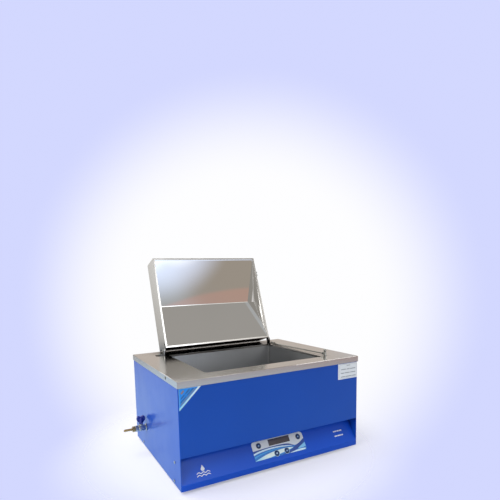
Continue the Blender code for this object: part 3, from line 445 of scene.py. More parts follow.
def carve(bm, tool):
    """Take one bmesh away from another, exactly."""
    pair = []
    for name, part in (("carved", bm), ("tool", tool)):
        bmesh.ops.recalc_face_normals(part, faces=part.faces)
        mesh = bpy.data.meshes.new(name)
        part.to_mesh(mesh)
        part.free()
        made = bpy.data.objects.new(name, mesh)
        bpy.context.scene.collection.objects.link(made)
        pair.append(made)
    cut = pair[0].modifiers.new("cut", "BOOLEAN")
    cut.operation, cut.solver, cut.object = "DIFFERENCE", "EXACT", pair[1]
    bpy.context.view_layer.update()
    result = bmesh.new()
    result.from_object(pair[0], bpy.context.evaluated_depsgraph_get())
    for made in pair:
        bpy.data.objects.remove(made)
    return result


def flat_shape(outline, holes, to_world, low, high):
    """Thin plate with the given outline and holes, between two heights."""
    points, loops = [], []
    for loop in [outline] + holes:
        loops.append(list(range(len(points), len(points) + len(loop))))
        points += [Vector(p) for p in loop]
    edges = [(loop[i], loop[(i + 1) % len(loop)]) for loop in loops for i in range(len(loop))]
    points, _, faces, _, _, _ = delaunay_2d_cdt(points, edges, [], 0, 1e-7)

    def inside(p, loop):
        crossings = 0
        for a, b in zip(loop, loop[1:] + loop[:1]):
            if (a[1] > p.y) != (b[1] > p.y):
                crossings += p.x < a[0] + (p.y - a[1]) / (b[1] - a[1]) * (b[0] - a[0])
        return crossings % 2 == 1

    bm = bmesh.new()
    verts = [bm.verts.new(to_world(p.x, p.y, low)) for p in points]
    for face in faces:
        centre = sum((points[i] for i in face), Vector((0.0, 0.0))) / len(face)
        if inside(centre, outline) and not any(inside(centre, hole) for hole in holes):
            bm.faces.new([verts[i] for i in face])
    for vert in [v for v in bm.verts if not v.link_faces]:
        bm.verts.remove(vert)
    raised = bmesh.ops.extrude_face_region(bm, geom=list(bm.faces))["geom"]
    lift = to_world(0.0, 0.0, high) - to_world(0.0, 0.0, low)
    bmesh.ops.translate(bm, verts=[v for v in raised if isinstance(v, bmesh.types.BMVert)], vec=lift)
    return bm


def ring(centre, radius, steps=32):
    """Circle outline."""
    return [(centre[0] + radius * math.cos(2 * math.pi * i / steps),
             centre[1] + radius * math.sin(2 * math.pi * i / steps)) for i in range(steps)]


def corners(low, high, grow=0.0, radius=0.0, steps=6):
    """Rectangle outline, with rounded corners if a radius is given."""
    x0, y0, x1, y1 = low[0] - grow, low[1] - grow, high[0] + grow, high[1] + grow
    if radius == 0.0:
        return [(x0, y0), (x1, y0), (x1, y1), (x0, y1)]
    outline = []
    for cx, cy, turn in ((x1 - radius, y0 + radius, -90), (x1 - radius, y1 - radius, 0),
                         (x0 + radius, y1 - radius, 90), (x0 + radius, y0 + radius, 180)):
        for i in range(steps + 1):
            angle = math.radians(turn + 90.0 * i / steps)
            outline.append((cx + radius * math.cos(angle), cy + radius * math.sin(angle)))
    return outline


def smooth_curve(points, steps=8):
    """Catmull-Rom curve through points."""
    padded = [points[0]] + list(points) + [points[-1]]
    out = []
    for a, b, c, d in zip(padded, padded[1:], padded[2:], padded[3:]):
        for i in range(steps):
            t = i / steps
            out.append(tuple(
                0.5 * (2 * q + (r - p) * t + (2 * p - 5 * q + 4 * r - s) * t * t
                       + (3 * q - p - 3 * r + s) * t ** 3)
                for p, q, r, s in zip(a, b, c, d)))
    return out + [tuple(points[-1])]


# ---------------------------------------------------------------- sheet metal and plain parts

EDGE_WIDTHS = {
    "casing_wrapper": 0.0007, "lid_shell": 0.0006, "rear_panel": 0.0003,
    "base_plate": 0.0003, "tank": 0.0003,
    "hinge_bracket_left": 0.0004, "hinge_bracket_right": 0.0004,
    "hinge_lug_left": 0.0004, "hinge_lug_right": 0.0004,
    "lid_handle": 0.0002, "stay_post": 0.0002, "stay_rod": 0.0002, "stay_pin": 0.0002,
    "stay_catch": 0.0003,
    "hinge_pin_left": 0.0002, "hinge_pin_right": 0.0002,
    "foot_front_left": 0.0005, "foot_front_right": 0.0005,
    "foot_rear_left": 0.0005, "foot_rear_right": 0.0005,
    "mains_inlet": 0.0004, "fuse_holder": 0.0003, "drain_locknut": 0.0004,
    "display_window": 0.0002, "valve_ball_stem": 0.0002,
}
for node, width in EDGE_WIDTHS.items():
    refine(node, width)
# Painted light: the fascia's enamel is a lighter, bluer copy of the casing's, standing in for the
# brighter light on the sloping face.
refine("control_fascia", 0.0004, surface=painted("fascia_enamel_painted_lighter", (0.0055, 0.070, 0.52)))
refine("deck", 0.0003, folds=(0.0012, 0.0014))
refine("lid_liner", 0.0002, crease=10.0, folds=(0.0015, 0.0022))

SHOWN_AS_MODELLED = (
    "tank_insulation", "lid_insulation", "control_board", "display_module", "solid_state_relay",
    "overheat_thermostat", "heater_element", "temperature_probe", "drain_pipe", "control_overlay",
)
for node in SHOWN_AS_MODELLED:
    NODES[node].data.materials.clear()
    NODES[node].data.materials.append(SURFACES[SLOTS[node]])


# ---------------------------------------------------------------- tank shelf

def build_shelf():
    """Perforated shelf on two folded legs."""
    low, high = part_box("tank_shelf")
    sheet, pitch, hole, plain_edges = 0.001, 0.016, 0.0052, 0.030
    columns = int((high.x - low.x - plain_edges) / pitch)
    rows = int((high.y - low.y - plain_edges) / pitch)
    start_x = (low.x + high.x - pitch * (columns - 1)) / 2
    start_y = (low.y + high.y - pitch * (rows - 1)) / 2
    holes = [ring((start_x + pitch * i, start_y + pitch * j), hole, 16)
             for i in range(columns) for j in range(rows)]
    bm = flat_shape(corners(low, high), holes, lambda x, y, z: Vector((x, y, z)), high.z - sheet, high.z)
    for y0, y1 in ((low.y, low.y + sheet), (high.y - sheet, high.y)):
        bmesh.ops.create_cube(bm, size=1.0, matrix=(
            Matrix.Translation(((low.x + high.x) / 2, (y0 + y1) / 2, (low.z + high.z) / 2))
            @ Matrix.Diagonal((high.x - low.x, y1 - y0, high.z - low.z, 1.0))))
    rolled = brushed("shelf_rolled_stainless", (0.50, 0.50, 0.49), 0.30, ACROSS)
    made = place("tank_shelf_perforated", bm, rolled, body_of("tank_shelf"))
    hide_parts("tank_shelf")


build_shelf()


# ---------------------------------------------------------------- screws

def screw_mesh(head_radius, head_height, shank_radius, shank_length):
    """Pan head with a cross recess, its underside at Z = 0."""
    r, h = head_radius, head_height
    recess_turn, recess_taper, steps = 20.0, 0.45, 8
    dome = [(0.0, h)]
    for i in range(1, steps + 1):
        angle = math.radians(90.0 * i / steps)
        dome.append((r * math.sin(angle) ** 0.85, 0.25 * h + 0.75 * h * math.cos(angle) ** 0.8))
    profile = dome + [(r, 0.06 * h), (0.97 * r, 0.0), (shank_radius, 0.0),
                      (shank_radius, -shank_length), (0.0, -shank_length)]
    bm = lathe(profile, 40)
    wing, half, depth = 0.52 * r, 0.115 * r, 0.75 * h
    for turn in (0.0, 90.0):
        tool = bmesh.new()
        bmesh.ops.create_cube(tool, size=1.0, matrix=(
            Matrix.Rotation(math.radians(turn + recess_turn), 4, "Z") @ Matrix.Translation((0.0, 0.0, h))
            @ Matrix.Diagonal((2.0 * wing, 2.0 * half, 2.0 * depth, 1.0))))
        for v in tool.verts:
            if v.co.z < h:
                v.co.x *= recess_taper
                v.co.y *= recess_taper
        bm = carve(bm, tool)
    return bm


def build_screws():
    """Put a detailed screw in the place of each CAD screw."""
    facing = {"side_screw_left": (-1, 0, 0), "side_screw_right": (1, 0, 0),
              "flange_screw_left": (-1, 0, 0), "flange_screw_right": (1, 0, 0),
              "rear_screw": (0, 1, 0), "bracket_screw": (0, 0, 1)}
    meshes = {}
    for node in sorted(n for n in NODES if "_screw_" in n):
        out = Vector(next(d for start, d in facing.items() if node.startswith(start)))
        low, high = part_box(node)
        size = high - low
        along = max(range(3), key=lambda i: abs(out[i]))
        radius = max(size[i] for i in range(3) if i != along) / 2
        length = round(size[along], 5)
        tip = Vector([(high if out[i] > 0 else low)[i] if i == along else (low[i] + high[i]) / 2
                      for i in range(3)])
        if length not in meshes:
            meshes[length] = screw_mesh(radius, SCREW_HEAD, SCREW_SHANK, length - SCREW_HEAD)
        bm = meshes[length].copy()
        bm.transform(turned_to(out, tip - out * SCREW_HEAD))
        made = place(node + "_detailed", bm, SURFACES["bright_nickel"], body_of(node), 40.0)
        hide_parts(node)
    for bm in meshes.values():
        bm.free()


build_screws()


# ---------------------------------------------------------------- drain valve

VALVE_LOW, VALVE_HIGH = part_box("valve_body")
FLANGE_RADIUS = 0.011
WALL = VALVE_HIGH.x
VALVE_AXIS = Vector((WALL, (VALVE_LOW.y + VALVE_HIGH.y) / 2, VALVE_LOW.z + FLANGE_RADIUS))
OUTWARD = turned_to((-1, 0, 0), VALVE_AXIS)


def build_valve_body():
    """Turned body with a wall flange, a hexagon and the bonnet that the handle's stem comes out of.

    Profiles are (radius, distance) pairs: out from the wall, or for the bonnet up from the axis.
    """
    length = WALL - VALVE_LOW.x
    bm = closed_lathe([
        (0.0073, 0.0), (0.0105, 0.0), (FLANGE_RADIUS, 0.0005), (FLANGE_RADIUS, 0.0024), (0.0105, 0.0029),
        (0.0089, 0.0038), (0.0088, 0.0085), (0.0093, 0.0097), (0.0096, 0.0104), (0.0096, 0.0240),
        (0.0093, 0.0252), (0.0088, 0.0264), (0.0090, 0.0276), (0.0096, 0.0284),
        (0.0097, length - 0.0006), (0.0092, length), (0.0073, length), (0.0071, length - 0.0006),
        (0.0071, 0.0105), (0.0041, 0.0102), (0.0041, 0.0074), (0.0073, 0.0070), (0.0073, 0.0),
    ], 56)
    bm.transform(OUTWARD)
    nut = lathe([(0.0097, 0.0106), (0.0104, 0.0112), (0.0104, 0.0138), (0.0097, 0.0144),
                 (0.0094, 0.0144), (0.0094, 0.0106), (0.0097, 0.0106)], 6)
    nut.transform(OUTWARD)
    stem_low, stem_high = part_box("valve_ball_stem")
    top = VALVE_HIGH.z - VALVE_AXIS.z
    bonnet = closed_lathe([(0.0027, 0.0086), (0.0058, 0.0086), (0.0058, top - 0.0008), (0.0052, top),
                           (0.0030, top), (0.0027, top - 0.0003), (0.0027, 0.0086)], 40)
    bonnet.transform(Matrix.Translation((stem_low.x / 2 + stem_high.x / 2, VALVE_AXIS.y, VALVE_AXIS.z)))
    pieces = [place(name, shape, SURFACES["bright_nickel"], body_of("valve_body"), 30.0)
              for name, shape in (("valve_body_turned", bm), ("valve_body_hexagon", nut),
                                  ("valve_bonnet", bonnet))]
    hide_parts("valve_body")


def build_hose_tail():
    """Brass tail with a milled collar and four ridges for the hose."""
    low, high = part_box("hose_barb")
    inner, tip = WALL - high.x, WALL - low.x
    face, first_ridge, ridge_pitch = 0.0373, 0.0102, 0.0062
    profile = [(0.0025, inner), (0.0063, inner), (0.0067, inner + 0.0004), (0.0067, face - 0.0002),
               (0.0084, face), (0.0088, face + 0.0004), (0.0088, face + 0.0078), (0.0084, face + 0.0083),
               (0.0031, face + 0.0092)]
    for ridge in range(4):
        start = face + first_ridge + ridge_pitch * ridge
        profile += [(0.0030, start), (0.0041, start + 0.0007), (0.0042, start + 0.0010),
                    (0.0034, start + 0.0059)]
    profile += [(0.0032, tip - 0.0003), (0.0029, tip), (0.0026, tip), (0.0025, tip - 0.0003),
                (0.0025, inner)]
    bm = closed_lathe(profile, 48)
    bm.transform(OUTWARD)
    barb = place("hose_tail_turned", bm, SURFACES["yellow_brass"], body_of("hose_barb"), 25.0)
    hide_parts("hose_barb")


def build_valve_handle():
    """Butterfly handle: a domed hub and two rounded wings."""
    low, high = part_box("valve_handle")
    middle = (low + high) / 2
    half, height = (high.x - low.x) / 2, high.z - low.z
    hub = closed_lathe([(0.0026, 0.0), (0.0060, 0.0), (0.0065, 0.0006), (0.0068, 0.0040),
                        (0.0067, 0.0150), (0.0058, 0.0195), (0.0036, 0.0222), (0.0, 0.0230),
                        (0.0, 0.0125), (0.0026, 0.0125), (0.0026, 0.0)], 40)
    hub.transform(Matrix.Translation((middle.x, middle.y, low.z)))
    body, plastic = body_of("valve_handle"), SURFACES["blue_handle_plastic"]
    grip = place("valve_handle_hub", hub, plastic, body, 40.0)
    outline = smooth_curve([(-0.0058, 0.0042), (-0.0108, 0.0090), (-half, 0.0160), (-0.0122, 0.0240),
                            (-0.0080, height), (-0.0030, 0.0250), (0.0, 0.0238), (0.0030, 0.0250),
                            (0.0080, height), (0.0122, 0.0240), (half, 0.0160), (0.0108, 0.0090),
                            (0.0058, 0.0042)], 6)
    outline = [(x, min(height, z)) for x, z in outline]
    half_thickness, rounding = 0.0042, 0.0026
    bm = flat_shape(outline, [], lambda x, z, y: Vector((middle.x + x, middle.y + y, low.z + z)),
                    -half_thickness, half_thickness)
    bmesh.ops.dissolve_limit(bm, angle_limit=math.radians(1.0), verts=bm.verts, edges=bm.edges)
    rim = [e for e in bm.edges if e.is_manifold and abs(e.verts[0].co.y - e.verts[1].co.y) < 1e-7
           and e.calc_face_angle() > 0.8]
    bmesh.ops.bevel(bm, geom=rim, offset=rounding, segments=5, affect="EDGES", profile=0.5,
                    clamp_overlap=True)
    wings = place("valve_handle_wings", bm, plastic, body, 60.0)
    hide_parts("valve_handle")


build_valve_body()
build_hose_tail()
build_valve_handle()


# ---------------------------------------------------------------- control panel

GLYPHS = {
    "button_1": [[(-0.0022, -0.0017), (0.0022, -0.0017), (0.0, 0.0022)]],
    "button_2": [[(-0.0022, 0.0017), (0.0, -0.0022), (0.0022, 0.0017)]],
    "button_3": [corners((-0.0021, -0.0021), (0.0021, 0.0021), radius=0.0007)],
    "button_4": [[(-0.0017, -0.0022), (0.0022, 0.0), (-0.0017, 0.0022)]],
}


def build_buttons():
    """Domed keys with a paler blue disc in the middle as a painted highlight, and a simple printed sign.
    """
    pale = printed("button_sign_ink", (0.55, 0.72, 0.88))
    sign_scale = 0.72
    painted_highlight_blue = moulded("button_painted_highlight_moulding", (0.020, 0.13, 0.36), 0.2, 1400.0, 0.6)
    for node, (x, up) in BUTTONS.items():
        body = body_of(node)
        seat = turned_to(SLOPE_OUT, on_panel(x, up))
        r, top = KEY_RADIUS, KEY_TOP
        profile = [(0.0, top - 0.00035), (0.0030, top - 0.0003), (0.0036, top - 0.00005), (0.0042, top),
                   (0.0050, top - 0.0002), (0.0057, top - 0.0006), (0.0061, top - 0.0011),
                   (r, top - 0.0016), (r, -0.0018), (r + 0.0012, -0.0018), (r + 0.0012, -0.0028),
                   (0.0018, -0.0028), (0.0018, -0.0056), (0.0, -0.0056)]
        cap = lathe(profile, 48)
        cap.transform(seat)
        made = place(node + "_key", cap, SURFACES["button_plastic"], body, 45.0)
        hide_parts(node)
        # Painted highlight: a paler blue disc set into the middle of each key stands in for the light
        # that the key's top catches.
        disc = lathe([(0.0, top - 0.00022), (0.0027, top - 0.00022), (0.0029, top - 0.0003),
                      (0.0029, top - 0.0005), (0.0, top - 0.0005)], 32)
        disc.transform(seat)
        inset = place(node + "_centre", disc, painted_highlight_blue, body)
        for number, outline in enumerate(GLYPHS[node], 1):
            shape = [(x + a * sign_scale, up + b * sign_scale) for a, b in outline]
            sign = flat_shape(shape, [], on_panel, top - 0.00024, top - 0.00012)
            mark = place(node + "_sign_%d" % number, sign, pale, body)


def build_overlay_print():
    """The overlay's printed fields, each a thin layer of ink on the film."""
    keep_clear = [ring(spot, KEY_HOLE) for spot in BUTTONS.values()]
    keep_clear.append(corners(*WINDOW, grow=0.0001))
    foot = on_panel(0.0, 0.0).dot(SLOPE_UP)
    inks = {
        "silver": faded_print("ink_silver_grey", (0.70, 0.73, 0.75), (0.80, 0.78, 0.73), SLOPE_UP,
                              foot + 0.036, foot + 0.062, 0.30),
        "navy": printed("ink_navy", (0.006, 0.055, 0.30)),
        "cyan": printed("ink_cyan", (0.04, 0.34, 0.72)),
        "sky": printed("ink_sky", (0.22, 0.55, 0.84)),
        "pale": printed("ink_pale", (0.62, 0.80, 0.90)),
        "cream": faded_print("ink_cream", (0.26, 0.62, 0.84), (0.74, 0.84, 0.80), (1.0, 0.0, 0.0),
                             CORNER.x + 0.228, CORNER.x + 0.275),
        "ring": printed("ink_ring", (0.008, 0.035, 0.10)),
        "halo": printed("ink_halo", (0.40, 0.58, 0.74)),
    }

    def ink(name, outline, material, layer, holes=keep_clear):
        base = FILM_TOP + PRINT * (layer - 1)
        bm = flat_shape(outline, holes, on_panel, base, base + PRINT)
        place("overlay_" + name, bm, inks[material], "cabinet")

    low, high = (0.2265, 0.0125), (0.4055, 0.0650)
    edge = smooth_curve([(low[0], 0.0398), (0.2546, 0.0412), (0.2838, 0.0422), (0.3204, 0.0420),
                         (0.3468, 0.0396), (0.3640, 0.0325), (0.3710, 0.0310), (0.3850, 0.0345),
                         (high[0], 0.0445)])
    top, radius = [], 0.009
    for cx, turn in ((high[0] - radius, 0), (low[0] + radius, 90)):
        top += [(cx + radius * math.cos(math.radians(turn + 15 * i)),
                 high[1] - radius + radius * math.sin(math.radians(turn + 15 * i))) for i in range(7)]
    ink("bezel", edge + top, "silver", 2)

    band_low = smooth_curve([(low[0], 0.0330), (0.2478, 0.0372), (0.2821, 0.0396), (0.3180, 0.0384),
                             (0.3440, 0.0352), (0.3610, 0.0318)])
    band_high = [p for p in edge if p[0] < 0.3660]
    ink("navy_band", band_low + band_high[::-1], "navy", 1)
    swoosh_low = smooth_curve([(low[0], 0.0285), (0.2462, 0.0325), (0.2804, 0.0355), (0.3165, 0.0350),
                               (0.3426, 0.0326), (0.3610, 0.0314)])
    ink("swoosh", swoosh_low + band_low[::-1][1:], "pale", 1)
    streak_low = smooth_curve([(low[0], 0.0200), (0.2500, 0.0262), (0.2800, 0.0302), (0.3100, 0.0318),
                               (0.3330, 0.0312)])
    streak_high = smooth_curve([(low[0], 0.0238), (0.2500, 0.0290), (0.2800, 0.0325), (0.3100, 0.0334),
                                (0.3330, 0.0316)])
    ink("streak", streak_low + streak_high[::-1], "cyan", 1)
    leaf_low = smooth_curve([(0.2272, 0.0128), (0.2529, 0.0128), (0.2873, 0.0152), (0.3232, 0.0192),
                             (0.3499, 0.0236), (0.3610, 0.0262)])
    leaf_high = smooth_curve([(0.2272, 0.0134), (0.2521, 0.0205), (0.2774, 0.0254), (0.3022, 0.0282),
                              (0.3394, 0.0290), (0.3610, 0.0264)])
    ink("leaf", leaf_low + leaf_high[::-1], "cream", 2)
    leaf_edge = [(x, y - 0.0012) for x, y in leaf_low if y > 0.0140]
    ink("leaf_edge", leaf_edge + leaf_low[::-1][:-6], "sky", 3)
    diagonal = smooth_curve([(0.3180, 0.0125), (0.3480, 0.0205), (0.3760, 0.0310), (high[0], 0.0430)])
    diagonal_low = smooth_curve([(high[0], 0.0350), (0.3860, 0.0240), (0.3640, 0.0160), (0.3420, 0.0125)])
    ink("navy_diagonal", diagonal + diagonal_low, "navy", 1)
    patch = smooth_curve([(0.3760, 0.0205), (0.3900, 0.0262), (high[0], 0.0320)])
    patch_low = smooth_curve([(high[0], 0.0212), (0.3930, 0.0190), (0.3760, 0.0190)])
    ink("sky_patch", patch + patch_low, "sky", 1)
    wedge = smooth_curve([(0.3450, 0.0126), (0.3616, 0.0152), (0.3852, 0.0172), (0.4025, 0.0162)])
    wedge_low = smooth_curve([(0.4012, 0.0124), (0.3800, 0.0118), (0.3450, 0.0122)])
    ink("wedge", wedge + wedge_low, "pale", 2)
    for number, spot in enumerate(BUTTONS.values(), 1):
        if number > 2:
            ink("halo_%d" % number, ring(spot, PALE_RING), "halo", 3, [ring(spot, DARK_RING)])
        ink("ring_%d" % number, ring(spot, DARK_RING), "ring", 3, [ring(spot, KEY_HOLE)])


def build_panel_marks():
    """Plain white bars at the right of the sloping face, and a water sign at its left."""
    white = printed("ink_white", (0.74, 0.76, 0.78))

    def mark(name, outline):
        bm = flat_shape(outline, [], on_panel, 0.00001, 0.00009)
        place("panel_" + name, bm, white, "cabinet")

    for number, (up, lengths) in enumerate(((0.0382, (0.013, 0.008, 0.010)),
                                            (0.0240, (0.010, 0.014, 0.007))), 1):
        start = 0.522
        for part, length in enumerate(lengths, 1):
            mark("bar_%d_%d" % (number, part), corners((start, up), (start + length, up + 0.0036)))
            start += length + 0.0015
    for number, up in enumerate((0.0130, 0.0195), 1):
        crests = [(0.0480 + 0.0065 * i, up + (0.0016 if i % 2 else -0.0016)) for i in range(7)]
        line = smooth_curve(crests, 6)
        mark("wave_%d" % number, line + [(x, y + 0.0022) for x, y in reversed(line)])
    drop = smooth_curve([(0.0675, 0.0400), (0.0640, 0.0340), (0.0620, 0.0295), (0.0640, 0.0258),
                         (0.0675, 0.0246), (0.0710, 0.0258), (0.0730, 0.0295), (0.0710, 0.0340),
                         (0.0675, 0.0400)], 6)[:-1]
    mark("drop", drop)


build_buttons()
build_overlay_print()
build_panel_marks()


# ---------------------------------------------------------------- labels on the front

def on_front(x, z, out):
    """Point on the casing's flat front."""
    return CORNER + Vector((x, -out, z))


def build_labels():
    """Triangular corner label and a plain white data label with grey bars in place of its text."""
    gap, film = 0.00002, 0.00008

    def layer(name, outline, material, number, holes=()):
        bm = flat_shape(outline, list(holes), on_front, gap + film * (number - 1), gap + film * number)
        place("label_" + name, bm, material, "cabinet")

    white = printed("label_white", (0.83, 0.84, 0.84), 0.45)
    grey = printed("label_grey_ink", (0.30, 0.31, 0.33), 0.5)
    layer("data_plate", corners((0.5216, 0.2225), (0.5985, 0.2705), radius=0.0012), white, 1)
    layer("data_frame", corners((0.5276, 0.2252), (0.5962, 0.2680)), grey, 2,
          [corners((0.5281, 0.2257), (0.5957, 0.2675))])
    layer("data_bar_title", corners((0.5555, 0.2632), (0.5700, 0.2650)), grey, 2)
    rows = ((0.021, 0.011, 0.022), (0.013, 0.020, 0.021), (0.017, 0.024, 0.015))
    for row, lengths in enumerate(rows, 1):
        start, z = 0.5330, 0.2632 - 0.0115 * row
        for part, length in enumerate(lengths, 1):
            bar = corners((start, z), (start + length, z + 0.0024))
            layer("data_bar_%d_%d" % (row, part), bar, grey, 2)
            start += length + 0.0022

    left, top, right, bottom = 0.0030, 0.2712, 0.0640, 0.2140
    border = faded_print("label_border", (0.36, 0.72, 0.86), (0.76, 0.86, 0.88), (1.0, 0.0, 0.0),
                         CORNER.x, CORNER.x + right)
    field = faded_print("label_field", (0.008, 0.26, 0.80), (0.020, 0.52, 0.95), (0.4, 0.0, -0.9),
                        -CORNER.z - 0.26, -CORNER.z - 0.20)
    gold = printed("label_gold_ink", (0.25, 0.20, 0.06), 0.42)
    ink = printed("label_dark_ink", (0.020, 0.035, 0.10), 0.42)
    chip = printed("label_rose_ink", (0.24, 0.20, 0.26), 0.42)
    layer("corner_border", [(left, bottom), (right, top), (left, top)], border, 1)
    inner = [(left + 0.0006, bottom + 0.0072), (right - 0.0080, top - 0.0008),
             (left + 0.0006, top - 0.0008)]
    layer("corner_field", inner, field, 2)
    slope = (top - bottom) / (right - left)

    def stripe(name, offset, thick, start, end, material):
        """Bar along the label's long edge, offset towards its square corner."""
        a, b = left + start, left + end

        def z(x, lift):
            return bottom + slope * (x - left) + lift

        layer(name, [(a, z(a, offset)), (b, z(b, offset)), (b, z(b, offset + thick)),
                     (a, z(a, offset + thick))], material, 3)

    layer("corner_chip", [(left + 0.0040, top - 0.0120), (left + 0.0085, top - 0.0150),
                          (left + 0.0150, top - 0.0070), (left + 0.0110, top - 0.0042)], chip, 3)
    stripe("corner_gold_stripe", 0.0098, 0.0024, 0.0036, 0.0455, gold)
    stripe("corner_stripe_1", 0.0160, 0.0027, 0.0045, 0.0200, ink)
    stripe("corner_stripe_2", 0.0160, 0.0027, 0.0220, 0.0395, ink)
    stripe("corner_stripe_3", 0.0245, 0.0031, 0.0055, 0.0150, ink)
    stripe("corner_stripe_4", 0.0245, 0.0031, 0.0175, 0.0290, ink)


build_labels()


# ---------------------------------------------------------------- seams

def build_seams():
    """Soldered seams at the four corners of the deck's flange."""
    low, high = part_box("deck")
    solder = satin("soldered_seam", (0.44, 0.43, 0.41), 0.4, UPRIGHT)
    radius, chamfer, length, foot = 0.00035, 0.0002, 0.0160, low.z + 0.0006
    for name, x, y in (("front_left", low.x, low.y), ("front_right", high.x, low.y),
                       ("rear_left", low.x, high.y), ("rear_right", high.x, high.y)):
        inward_x = 1.0 if x < 0 else -1.0
        inward_y = 1.0 if y < 0 else -1.0
        bm = lathe([(0.0, 0.0), (radius, chamfer), (radius, length - chamfer), (0.0, length)], 12)
        bm.transform(Matrix.Translation((x + inward_x * 2 * radius, y + inward_y * 2 * radius, foot)))
        made = place("deck_seam_" + name, bm, solder, "cabinet")


build_seams()


# ---------------------------------------------------------------- floor, light and camera

FLOOR_RADIUS = 7.0
FLOOR_SEEN, FLOOR_REFLECTED = (0.88, 0.885, 0.95), (0.45, 0.58, 0.73)
# Each fade: distance from the object where it starts and ends, and how clear the floor is before it.
FADES = {"A": (0.5, 2.6, 0.0), "B": (0.30, 0.62, 0.40)}


def build_floor():
    """Pale round floor that fades into the backdrop.

    Other rays than the camera's meet a bluer and darker floor that reaches further out.
    """
    bm = bmesh.new()
    bmesh.ops.create_circle(bm, cap_ends=True, segments=96, radius=FLOOR_RADIUS)
    mesh = bpy.data.meshes.new("studio_floor")
    bm.to_mesh(mesh)
    bm.free()
    floor = bpy.data.objects.new("studio_floor", mesh)
    bpy.context.scene.collection.objects.link(floor)
    s = Surface("studio_floor_paint", FLOOR_SEEN, 0.75)
    s.tint(s.noise(2.0, 2.0), 0.99, 1.01)
    s.set("Specular IOR Level", 0.2)
    seen = s.node("ShaderNodeMix", data_type="RGBA")
    seen.inputs["A"].default_value = (*FLOOR_REFLECTED, 1.0)
    camera_ray = s.node("ShaderNodeLightPath").outputs["Is Camera Ray"]
    s.link(camera_ray, seen.inputs["Factor"])
    s.link(s.shader.inputs["Base Color"].links[0].from_socket, seen.inputs["B"])
    s.link(seen.outputs["Result"], s.shader.inputs["Base Color"])
    length = s.node("ShaderNodeVectorMath", operation="LENGTH")
    s.link(s.position(), length.inputs[0])
    fades = s.node("ShaderNodeMix")
    for socket, (near, far, least) in FADES.items():
        fade = s.node("ShaderNodeMapRange", interpolation_type="SMOOTHSTEP")
        fade.inputs["From Min"].default_value = near
        fade.inputs["From Max"].default_value = far
        fade.inputs["To Min"].default_value = least
        s.link(length.outputs["Value"], fade.inputs["Value"])
        s.link(fade.outputs["Result"], fades.inputs[socket])
    s.link(camera_ray, fades.inputs["Factor"])
    clear = s.node("ShaderNodeBsdfTransparent")
    mix = s.node("ShaderNodeMixShader")
    s.link(fades.outputs["Result"], mix.inputs["Fac"])
    s.link(s.shader.outputs["BSDF"], mix.inputs[1])
    s.link(clear.outputs["BSDF"], mix.inputs[2])
    s.link(mix.outputs["Shader"], s.tree.nodes["Material Output"].inputs["Surface"])
    mesh.materials.append(s.material)


BACKDROP_NEAR, BACKDROP_FAR = (0.99, 0.99, 1.0), (0.65, 0.685, 1.0)
BACKDROP_GLOW = (30, -4, 17, 31)
ROOM = (0.40, 0.385, 0.365)
# Patches of the room's light: azimuth and elevation of the middle, the angles from it within which the
# patch is full and past which it is gone, and the light that it adds. The front is at azimuth 180.
ROOM_PATCHES = {
    "rear_left_glow": (-40, 12, 8, 36, (0.78, 0.82, 0.84)),
    "window_right_half": (150, 26, 4, 10, (0.90, 0.90, 0.90)),
    "window": (164, 30, 5, 11, (2.7, 2.85, 3.0)),
    "upper_left": (-76, 53, 10, 26, (1.8, 1.85, 1.9)),
    "front_left": (-155, 15, 6, 22, (0.80, 0.80, 0.85)),
    "below_window": (169, 14, 6, 11, (0.9, 0.95, 1.05)),
    "ceiling": (174, 56, 3, 9, (0.20, 0.24, 0.29)),
    "rear_right_blue": (52, 10, 4, 12, (0.0, 0.05, 0.12)),
    "front_blue": (162, 12, 2, 11, (0.66, 0.82, 1.18)),
    "front_warm_core": (159, 11, 0, 5, (0.55, 0.50, 0.30)),
    "front_right_warmer": (150, 8, 4, 12, (0.0, -0.03, -0.06)),
    "rear_right_glow": (30, 8, 10, 50, (0.24, 0.19, 0.16)),
    "wall_with_an_edge": (150, -31, 33.7, 34.3, (0.12, 0.0, -0.01)),
    "front_horizon": (164, -1, 3, 9, (0.06, 0.09, 0.12)),
}


def direction(azimuth, elevation):
    """Unit vector; azimuth 0 is +Y, 90 is +X."""
    a, e = math.radians(azimuth), math.radians(elevation)
    return (math.sin(a) * math.cos(e), math.cos(a) * math.cos(e), math.sin(e))


